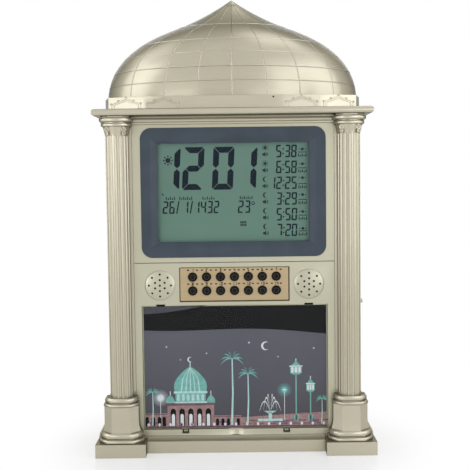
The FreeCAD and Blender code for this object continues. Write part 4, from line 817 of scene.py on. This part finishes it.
def dome_lines():
    """Raised beads along the bottom of the dome's panel grooves."""
    shell = NODES["dome_shell"]
    corners = [shell.matrix_world @ corner.co for corner in shell.data.vertices]
    skin = BVHTree.FromPolygons(corners, [tuple(face.vertices) for face in shell.data.polygons])

    def on_skin(turn_deg, z):
        """Point just outside the dome's skin, at a turn from the front and a height in mm."""
        turn = math.radians(turn_deg)
        away = Vector((math.sin(turn), -math.cos(turn), 0.0))
        axis = at(0.0, DOME_AXIS_Y, z)
        spot, normal, _, _ = skin.ray_cast(axis + away * RAY_START, -away)
        if spot is None:
            return None
        return spot + (normal if normal.dot(spot - axis) > 0 else -normal) * mm(LINE_LIFT)

    def line(name, marks):
        points = [spot for spot in (on_skin(turn, z) for turn, z in marks) if spot]
        # the lines take the lighter paint: painted highlight
        tube(name, points, mm(LINE_R), LINE_HIGHLIGHT_PAINT)

    low = DOME_FOOT_Z + LINE_FOOT_GAP
    high = DOME_TOP_Z - LINE_TIP_GAP
    for turn in LINE_TURNS:
        for mark, side in SIDES if turn else (("middle", 1),):
            line("dome_line_%s_%d" % (mark, round(turn)),
                 [(side * turn, low + (high - low) * i / LINE_STEPS) for i in range(LINE_STEPS + 1)])
    for number, share in enumerate(LINE_SHARES, 1):
        z = DOME_FOOT_Z + share * (DOME_TOP_Z - DOME_FOOT_Z)
        line("dome_line_row_%d" % number,
             [(LINE_END_DEG * (2.0 * i / ROW_STEPS - 1.0), z) for i in range(ROW_STEPS + 1)])


SPEAKER_X = 53.72
SPEAKER_Z = 121.4
GRILLE_DOME_R = 10.9
GRILLE_DOME_RISE = 1.5
GRILLE_SIDES = 72
GRILLE_STEPS = 18
GRILLE_SHARP_DEG = 40.0
GRILLE_HOLE_R = 0.76
DRILL_L = 8.0
HOLE_SHADE_LIFT = 0.65
GRILLE_RINGS = ((1, 0.0), (6, 3.958), (8, 7.947))
# black for the discs in the sound holes: painted shade
HOLE_SHADE = moulded_plastic("grille_hole_shade", (16, 14, 12), 0.8, gloss=0.1)


def grille_spots(sign):
    """Middles of the sound holes of the grille on one side."""
    for count, ring in GRILLE_RINGS:
        for cos, sin in circle(count):
            yield sign * SPEAKER_X + ring * sin, SPEAKER_Z + ring * cos


def grille_dome(name, sign):
    """Shallow dome over a grille, its sound holes cut through."""
    shell = bmesh.new()
    rings = []
    for step in range(1, GRILLE_STEPS + 1):
        lift = math.radians(90.0 * step / GRILLE_STEPS)
        reach = GRILLE_DOME_R * math.sin(lift)
        y = mm(FACE_Y - GRILLE_DOME_RISE * math.cos(lift))
        rings.append([shell.verts.new((mm(sign * SPEAKER_X + reach * cos), y, mm(SPEAKER_Z + reach * sin)))
                      for cos, sin in circle(GRILLE_SIDES)])
    shell.faces.new(rings[0])
    for inner, outer in zip(rings, rings[1:]):
        for i in range(GRILLE_SIDES):
            j = (i + 1) % GRILLE_SIDES
            shell.faces.new((inner[i], inner[j], outer[j], outer[i]))
    shell.faces.new(rings[-1][::-1])
    bmesh.ops.recalc_face_normals(shell, faces=shell.faces)
    drills = bmesh.new()
    for x, z in grille_spots(sign):
        turned = Matrix.Translation(at(x, FACE_Y, z)) @ Matrix.Rotation(math.pi / 2, 4, "X")
        bmesh.ops.create_cone(drills, cap_ends=True, segments=20, radius1=mm(GRILLE_HOLE_R),
                              radius2=mm(GRILLE_HOLE_R), depth=mm(DRILL_L), matrix=turned)
    dome = linked(name, mesh_of(name, shell))
    drill = linked(name + "_drills", mesh_of(name + "_drills", drills))
    cut = dome.modifiers.new("holes", "BOOLEAN")
    cut.operation = "DIFFERENCE"
    cut.solver = "EXACT"
    cut.object = drill
    mesh = evaluated(dome)
    bpy.data.objects.remove(drill)
    mesh.set_sharp_from_angle(angle=math.radians(GRILLE_SHARP_DEG))
    new_piece(name, mesh, PANEL_PAINT)


def grilles():
    """Domed grilles, with black discs just behind their holes: painted shade for the dark inside the holes.
    """
    for label, sign in SIDES:
        grille_dome(label + "_grille_dome", sign)
        # painted shade: a black disc behind each sound hole
        hole_shade = FlatArt(label + "_grille_hole_shade", mm(FACE_Y - HOLE_SHADE_LIFT), mm(0.05))
        for x, z in grille_spots(sign):
            hole_shade.disc(x, z, GRILLE_HOLE_R * 0.97, 12)
        hole_shade.finished(HOLE_SHADE, "cone_paper")


# painted shade in the slots round the clear cover
SLOT_SHADE = moulded_plastic("painted_slot_shade", (24, 20, 15), 0.7, gloss=0.1)
WELL_FLOOR_Y = -17.8
SNAP_X = 36.8
SNAP_HALF = 2.3
SNAP_Z0 = 12.75
SNAP_Z1 = 15.55
SNAP_LINE = 0.75
TAB_X = 53.6
TAB_HALF = 3.1
TAB_SLOT_Z0 = 105.75
TAB_SLOT_Z1 = 108.9


def cover_slots():
    """Painted shade: dark sheets on the floors of the slots that the clear cover's tabs and snaps sit in.
    """
    art = FlatArt("cover_slots", mm(WELL_FLOOR_Y), mm(0.1))
    low = SNAP_Z0 + SNAP_LINE
    high = SNAP_Z1 - SNAP_LINE
    for sign in (-1, 1):
        x0 = sign * SNAP_X - SNAP_HALF
        x1 = sign * SNAP_X + SNAP_HALF
        art.bar(x0, SNAP_Z0, x1, low)
        art.bar(x0, high, x1, SNAP_Z1)
        art.bar(x0, low, x0 + SNAP_LINE, high)
        art.bar(x1 - SNAP_LINE, low, x1, high)
        art.bar(sign * TAB_X - TAB_HALF, TAB_SLOT_Z0, sign * TAB_X + TAB_HALF, TAB_SLOT_Z1)
    art.finished(SLOT_SHADE, "champagne_panel")


dome_lines()
capital_curls()
parapet_beads()
grilles()
cover_slots()


# ===== picture on the card =====
AQUA = printed_ink("print_aqua", (128, 190, 176), 0.12)
PALE_AQUA = printed_ink("print_pale_aqua", (196, 228, 219), 0.08)
WHITE_LIGHT = printed_ink("print_white", (240, 240, 236), 0.04)
ROSE = printed_ink("print_rose", (172, 136, 132), 0.16)
DEEP_ROSE = printed_ink("print_deep_rose", (122, 94, 98), 0.16)
VIOLET = printed_ink("print_violet", (120, 104, 138), 0.16)
# dark print for the doorways; also the painted reflection along the top of the picture
DARK_INK_AND_REFLECTION = printed_ink("print_dark_and_reflection", (14, 12, 11), 0.12, 0.5)
# paler top-left part of the painted reflection
PALER_REFLECTION = printed_ink("print_paler_reflection", (84, 82, 86), 0.10)
LAYER_T = mm(0.02)
CARD_LOW, CARD_HIGH = box_mm("picture_card")
CARD_X = CARD_HIGH.x
CARD_Z0 = CARD_LOW.z
CARD_Z1 = CARD_HIGH.z


class Scenery(FlatArt):
    """Shapes of the picture; z is measured up from the card's lower edge."""

    def __init__(self, name, layer):
        super().__init__("picture_" + name, CARD_FRONT - LAYER_T * layer, LAYER_T)

    def curve(self, points):
        self.polygon([(x, CARD_Z0 + z) for x, z in points])

    def block(self, x0, z0, x1, z1):
        self.bar(x0, CARD_Z0 + z0, x1, CARD_Z0 + z1)

    def slab(self, x, half, z0, z1):
        """Block whose middle is at x."""
        self.block(x - half, z0, x + half, z1)

    def dome(self, x, z, radius, rise, steps=14):
        """Pointed dome standing on (x, z)."""
        side = []
        for step in range(steps + 1):
            share = step / steps
            swell = math.cos(math.radians(90.0 * share)) ** 0.75 * (1.0 + 0.16 * math.sin(math.pi * share))
            side.append((radius * swell, rise * share))
        self.curve([(x + px, z + pz) for px, pz in side] + [(x - px, z + pz) for px, pz in side[-2::-1]])

    def arch(self, x, z, width, height, steps=8):
        """Door or window with a round head, standing on (x, z)."""
        half = width / 2
        spring = z + height - half
        head = [(x + half * cos, spring + half * 1.25 * sin)
                for cos, sin in sweep(180.0 * i / steps for i in range(steps + 1))]
        self.curve([(x - half, z), (x + half, z)] + head)

    def star(self, x, z, radius):
        reaches = (radius, radius * 0.3) * 4
        self.curve([(x + reach * cos, z + reach * sin) for reach, (cos, sin) in zip(reaches, circle(8))])

    def crescent(self, x, z, radius):
        outer = sweep(range(50, 311, 10))
        inner = [(0.30 + 0.83 * cos, 0.83 * sin) for cos, sin in sweep(range(292, 67, -10))]
        self.curve([(x + px * radius, z + pz * radius) for px, pz in outer + inner])

    def frond(self, x, z, reach, lift, drop):
        """Palm leaf: a thin bow that leaves the crown at (x, z)."""
        shares = [i / 8 for i in range(9)]
        top = [(reach * share, lift * math.sin(math.pi * share * 0.7) - drop * share ** 2)
               for share in shares]
        under = [(px * 0.97, pz - 0.9 * math.sin(math.pi * share)) for share, (px, pz) in zip(shares, top)]
        self.curve([(x + px, z + pz) for px, pz in top + under[-2:0:-1]])

    def jet(self, x, z, reach, rise):
        """Falling jet of a fountain."""
        near = [(reach * i / 8, rise * (1.0 - (2.0 * i / 8 - 1.0) ** 2)) for i in range(9)]
        far = [(px * 0.94 + reach * 0.03, pz * 0.9 - 0.2) for px, pz in near[-2:0:-1]]
        self.curve([(x + px, z + pz) for px, pz in near + far])

    def done(self, finish):
        self.finished(finish, "printed_card")


KIOSK_X = -33.0
FOUNTAIN_X = 25.0
LANTERNS = ((44.0, 46.0, 4.2), (54.5, 33.0, 3.0))
PALMS = ((-61.0, 27.0, 5.5), (-3.0, 51.0, 8.6), (8.5, 40.0, 7.4), (62.5, 21.0, 4.6))
GLOWS = ((-55.0, 22.5, 6.5), (35.5, 27.5, 5.5))
GLOW_COLOURS = (srgb(236, 240, 238), srgb(120, 204, 196))
STARS = ((-50.0, 60.0, 1.0), (-21.0, 55.0, 0.8), (10.0, 62.5, 1.1), (31.0, 52.0, 0.8),
         (57.0, 58.0, 1.0), (-40.0, 50.5, 0.7), (2.0, 51.0, 0.7))
FRONDS = ((1.0, 0.42, 0.85), (0.95, 0.62, 0.38), (0.72, 0.85, -0.05), (0.36, 1.0, -0.30))
CORNER_W = 46.0


def band_edge(x):
    """Height of the lower edge of the painted reflection: a slow wave that falls to the right."""
    return 71.5 + 1.6 * math.sin(math.tau * (x + 20.0) / 150.0) - 0.035 * x


def sky_band():
    """Painted reflection along the top edge of the picture: a dark band, deeper on the right, paler in the
    top left corner.
    """
    height = CARD_Z1 - CARD_Z0
    painted_reflection = Scenery("painted_reflection", 0)
    xs = [-CARD_X + 2 * CARD_X * i / 40 for i in range(41)]
    painted_reflection.curve([(x, band_edge(x)) for x in xs] + [(CARD_X, height), (-CARD_X, height)])
    painted_reflection.done(DARK_INK_AND_REFLECTION)
    # paler top-left corner of the painted reflection
    corner = Scenery("corner", 1)
    shares = [i / 16 for i in range(17)]
    corner.curve([(-CARD_X + CORNER_W * share, 84.2 + 6.0 * share ** 1.6) for share in shares]
                 + [(-CARD_X, height)])
    corner.done(PALER_REFLECTION)


def low_buildings():
    west = KIOSK_X - 17.0
    east = KIOSK_X + 17.0
    back = Scenery("walls", 1)
    back.block(-CARD_X, 0.0, west, 11.0)
    back.block(west, 0.0, east, 18.0)
    back.block(east, 0.0, 4.0, 9.0)
    back.curve([(4.0, 0.0), (CARD_X, 0.0), (CARD_X, 11.0), (40.0, 9.6), (4.0, 7.4)])
    back.done(ROSE)
    trim = Scenery("courses", 2)
    trim.block(-CARD_X, 9.8, west, 10.6)
    trim.slab(KIOSK_X, 17.6, 16.6, 18.6)
    trim.block(east, 7.8, 4.0, 8.5)
    trim.slab(0.0, CARD_X, 0.0, 1.4)
    for x in range(8, 66, 9):
        trim.slab(x, 3.1, 2.2, 3.0)
        trim.slab(x + 4.5, 3.1, 4.6, 5.3)
    trim.done(DEEP_ROSE)
    glow = Scenery("violet", 2)
    for x, half in ((-60.0, 3.0), (-9.0, 4.5), (33.0, 6.0), (57.0, 3.5)):
        glow.slab(x, half, 3.4, 4.6)
    glow.done(VIOLET)
    doors = Scenery("arches", 3)
    lights = Scenery("doorways", 4)
    for step in range(5):
        x = KIOSK_X - 12.8 + step * 6.4
        doors.arch(x, 1.6, 4.0, 12.4)
        lights.arch(x, 1.6, 2.4, 8.6)
    for x in (-65.0, -60.5, -56.0, -52.5):
        doors.arch(x, 1.6, 2.6, 6.6)
    for x in (-13.6, -9.6, -5.6, 1.6):
        doors.arch(x, 1.6, 2.2, 5.0)
    doors.done(DARK_INK_AND_REFLECTION)
    lights.done(WHITE_LIGHT)


def kiosk():
    drum = Scenery("drum", 2)
    drum.slab(KIOSK_X, 11.0, 18.6, 26.0)
    drum.dome(KIOSK_X, 27.0, 11.4, 18.5)
    ribs = Scenery("ribs", 3)
    ribs.slab(KIOSK_X, 12.2, 25.6, 27.2)
    ribs.slab(KIOSK_X, 11.8, 18.4, 19.6)
    ribs.slab(KIOSK_X, 0.4, 44.6, 48.8)
    for share in (-0.62, -0.3, 0.0, 0.3, 0.62):
        foot = KIOSK_X + 10.8 * share
        bend = KIOSK_X + 8.8 * share
        ribs.curve([(foot - 0.5, 27.2), (foot + 0.5, 27.2), (bend + 0.35, 36.6),
                    (KIOSK_X + 0.2, 45.2), (KIOSK_X - 0.2, 45.2), (bend - 0.35, 36.6)])
    for step in range(6):
        ribs.arch(KIOSK_X - 8.9 + step * 3.56, 20.2, 2.1, 4.6)
    crown = Scenery("crown", 4)
    crown.crescent(KIOSK_X, 50.6, 1.9)
    for x in (KIOSK_X - 14.8, KIOSK_X + 14.8):
        drum.dome(x, 18.6, 2.9, 6.0)
        crown.slab(x, 0.25, 24.4, 27.4)
    drum.done(AQUA)
    ribs.done(PALE_AQUA)
    crown.done(WHITE_LIGHT)


def lanterns():
    """Tall street lanterns with lit panes."""
    for index, (x, height, half) in enumerate(LANTERNS, 1):
        post = Scenery("lantern_%d" % index, 3)
        post.slab(x, 0.45, 5.0, height - 7.4)
        post.curve([(x - half * 0.5, height - 7.4), (x + half * 0.5, height - 7.4),
                    (x + half, height - 6.2), (x + half, height - 1.4), (x, height + 2.6),
                    (x - half, height - 1.4), (x - half, height - 6.2)])
        post.slab(x, 1.6, 4.6, 8.6)
        post.done(AQUA)
        panes = Scenery("panes_%d" % index, 4)
        for side in (-1, 0, 1):
            panes.slab(x + side * half * 0.62, half * 0.22, height - 5.9, height - 1.9)
        panes.slab(x, half * 1.15, height - 1.5, height - 0.8)
        panes.slab(x, 0.3, height + 2.4, height + 4.4)
        panes.done(WHITE_LIGHT)


def fountain():
    basin = Scenery("basin", 3)
    basin.slab(FOUNTAIN_X, 9.0, 4.4, 6.2)
    basin.slab(FOUNTAIN_X, 1.2, 6.2, 11.0)
    basin.curve([(FOUNTAIN_X + x, z) for x, z in ((-1.4, 10.2), (1.4, 10.2), (4.6, 12.0), (-4.6, 12.0))])
    basin.done(PALE_AQUA)
    water = Scenery("water", 4)
    for side in (-1, 1):
        for reach, rise in ((7.6, 8.0), (4.8, 11.0), (2.4, 13.2)):
            water.jet(FOUNTAIN_X + side * 0.3, 11.6, side * reach, rise)
    water.done(WHITE_LIGHT)


def palms():
    trunks = Scenery("trunks", 5)
    leaves = Scenery("fronds", 6)
    for x, height, spread in PALMS:
        trunks.curve([(x + spread * away, z) for away, z in (
            (-0.09, 2.0), (0.09, 2.0), (0.17, height * 0.5),
            (0.12, height), (0.02, height), (0.03, height * 0.5))])
        for reach, lift, drop in FRONDS:
            for side in (-1, 1):
                leaves.frond(x + 0.07 * spread, height - 0.4, side * reach * spread,
                             lift * spread * 0.5, drop * spread * 0.8)
    trunks.done(PALE_AQUA)
    leaves.done(AQUA)


def sky_lights():
    """Stars, moon, the row of small lights along the foot, and two glowing lamps."""
    art = Scenery("stars", 4)
    for x, z, radius in STARS:
        art.star(x, z, radius)
    for x in range(-64, 66, 8):
        art.curve([(x + 0.9 * cos, 2.6 + 1.2 * sin) for cos, sin in circle(10)])
    art.crescent(22.0, 60.0, 3.2)
    art.done(WHITE_LIGHT)
    for index, ((x, z, radius), bright) in enumerate(zip(GLOWS, GLOW_COLOURS), 1):
        halo = Scenery("glow_%d" % index, 1)
        halo.curve([(x + radius * cos, z + radius * sin) for cos, sin in circle(32)])
        halo.done(lamp_glow("print_glow_%d" % index, x, CARD_Z0 + z, radius, bright))
        post = Scenery("post_%d" % index, 2)
        post.slab(x, 0.2, 5.0, z - 1.0)
        post.slab(x, 1.3, z - 0.5, z + 0.5)
        post.done(WHITE_LIGHT)


sky_band()
low_buildings()
kiosk()
lanterns()
fountain()
palms()
sky_lights()
big_figures()
small_figures()
display_marks()
key_labels()
plate_border()
key_caps()
finish_nodes()


# ===== floor, lights, world =====
FLOOR_REACH = 6.0
SHADOW_FADE = (0.10, 0.155)      # metres from the clock's middle
NEAR_SHARE = 0.5
FLOOR_ROUGHNESS = 0.14
WORLD_TINT = (0.96, 0.98, 1.0, 1.0)
WORLD_STRENGTH = 0.43
LAMP_WHITE = (0.97, 0.99, 1.12)
BACK_WHITE = (1.0, 0.98, 0.93)
AIM = (0.0, 0.0, 0.2)
LAMPS = (                   # name, place, size, watts, then aim and colour where they differ
    ("left", (-1.2, -0.2, 0.7), (0.85, 1.2), 6.4),
    ("left_low", (-0.72, -0.96, 0.2), (0.6, 0.4), 2.2),
    ("right", (0.80, -0.89, 0.8), (0.6, 1.0), 2.8),
    ("right_low", (0.60, -1.04, 0.2), (0.8, 0.4), 2.0),
    ("right_edge", (1.18, -0.3, 0.7), (0.8, 1.2), 5.4),
    ("top_left", (-0.8, 0.3, 1.3), (0.6, 0.6), 1.5),
    ("top", (0.35, 0.3, 1.5), (0.5, 0.5), 1.9),
    ("top_right", (0.8, 0.2, 1.35), (0.6, 0.6), 0.8),
    ("back", (0.0, 1.3, 0.95), (2.0, 0.7), 8.0, (0.0, 0.0, 0.25), BACK_WHITE),
)


def seeing_rays(tree):
    """1 for camera, glossy and transmission rays, which see white around the clock, else 0."""
    rays = add_node(tree, "ShaderNodeLightPath").outputs
    sight = add_node(tree, "ShaderNodeMath", {0: rays["Is Camera Ray"], 1: rays["Is Glossy Ray"]},
                     operation="MAXIMUM").outputs[0]
    return add_node(tree, "ShaderNodeMath", {0: sight, 1: rays["Is Transmission Ray"]},
                    operation="MAXIMUM").outputs[0]


def make_floor():
    """Pale floor that keeps the clock's shadow and fades to white away from it."""
    shader = Shader("floor", Roughness=FLOOR_ROUGHNESS)
    away = shader.node("VectorMath", {0: shader.place()}, operation="LENGTH").outputs["Value"]
    fade = shader.node("MapRange", {"From Min": SHADOW_FADE[0], "From Max": SHADOW_FADE[1],
                                    "To Min": NEAR_SHARE, "Value": away}, interpolation_type="SMOOTHSTEP")
    shader.paint(shader.noise(30.0), (0.3, srgb(238, 237, 233)), (0.7, srgb(243, 242, 238)))
    share = shader.node("Math", {0: seeing_rays(shader.tree), 1: fade.outputs["Result"]},
                        operation="MULTIPLY").outputs[0]
    shader.show_mix(share, shader.surface, shader.node("Emission"))
    mesh = bpy.data.meshes.new("floor")
    corners = ((-1, -1), (1, -1), (1, 1), (-1, 1))
    mesh.from_pydata([(x * FLOOR_REACH, y * FLOOR_REACH, 0.0) for x, y in corners], [], [(0, 1, 2, 3)])
    mesh.materials.append(shader.material)
    floor = linked("floor", mesh)


def make_lamp(name, place, size, power, aim=AIM, colour=LAMP_WHITE):
    data = bpy.data.lights.new(name, "AREA")
    data.shape = "RECTANGLE"
    data.size, data.size_y = size
    data.energy = power
    data.color = colour
    lamp = linked(name, data)
    lamp.location = place
    lamp.rotation_mode = "QUATERNION"
    lamp.rotation_quaternion = (Vector(aim) - Vector(place)).to_track_quat("-Z", "Y")


def make_world():
    """Soft even light on the clock, and plain white behind it."""
    world = bpy.data.worlds.new("studio")
    world.use_nodes = True
    tree = world.node_tree
    light = tree.nodes["Background"]
    light.inputs["Color"].default_value = WORLD_TINT
    light.inputs["Strength"].default_value = WORLD_STRENGTH
    seen = add_node(tree, "ShaderNodeBackground", {"Color": WHITE})
    mixed = add_node(tree, "ShaderNodeMixShader",
                     {"Fac": seeing_rays(tree), 1: light.outputs[0], 2: seen.outputs[0]})
    tree.links.new(mixed.outputs[0], tree.nodes["World Output"].inputs["Surface"])
    bpy.context.scene.world = world


make_floor()
for lamp in LAMPS:
    make_lamp(*lamp)
make_world()
make_camera()
bpy.context.scene.view_settings.view_transform = "Standard"
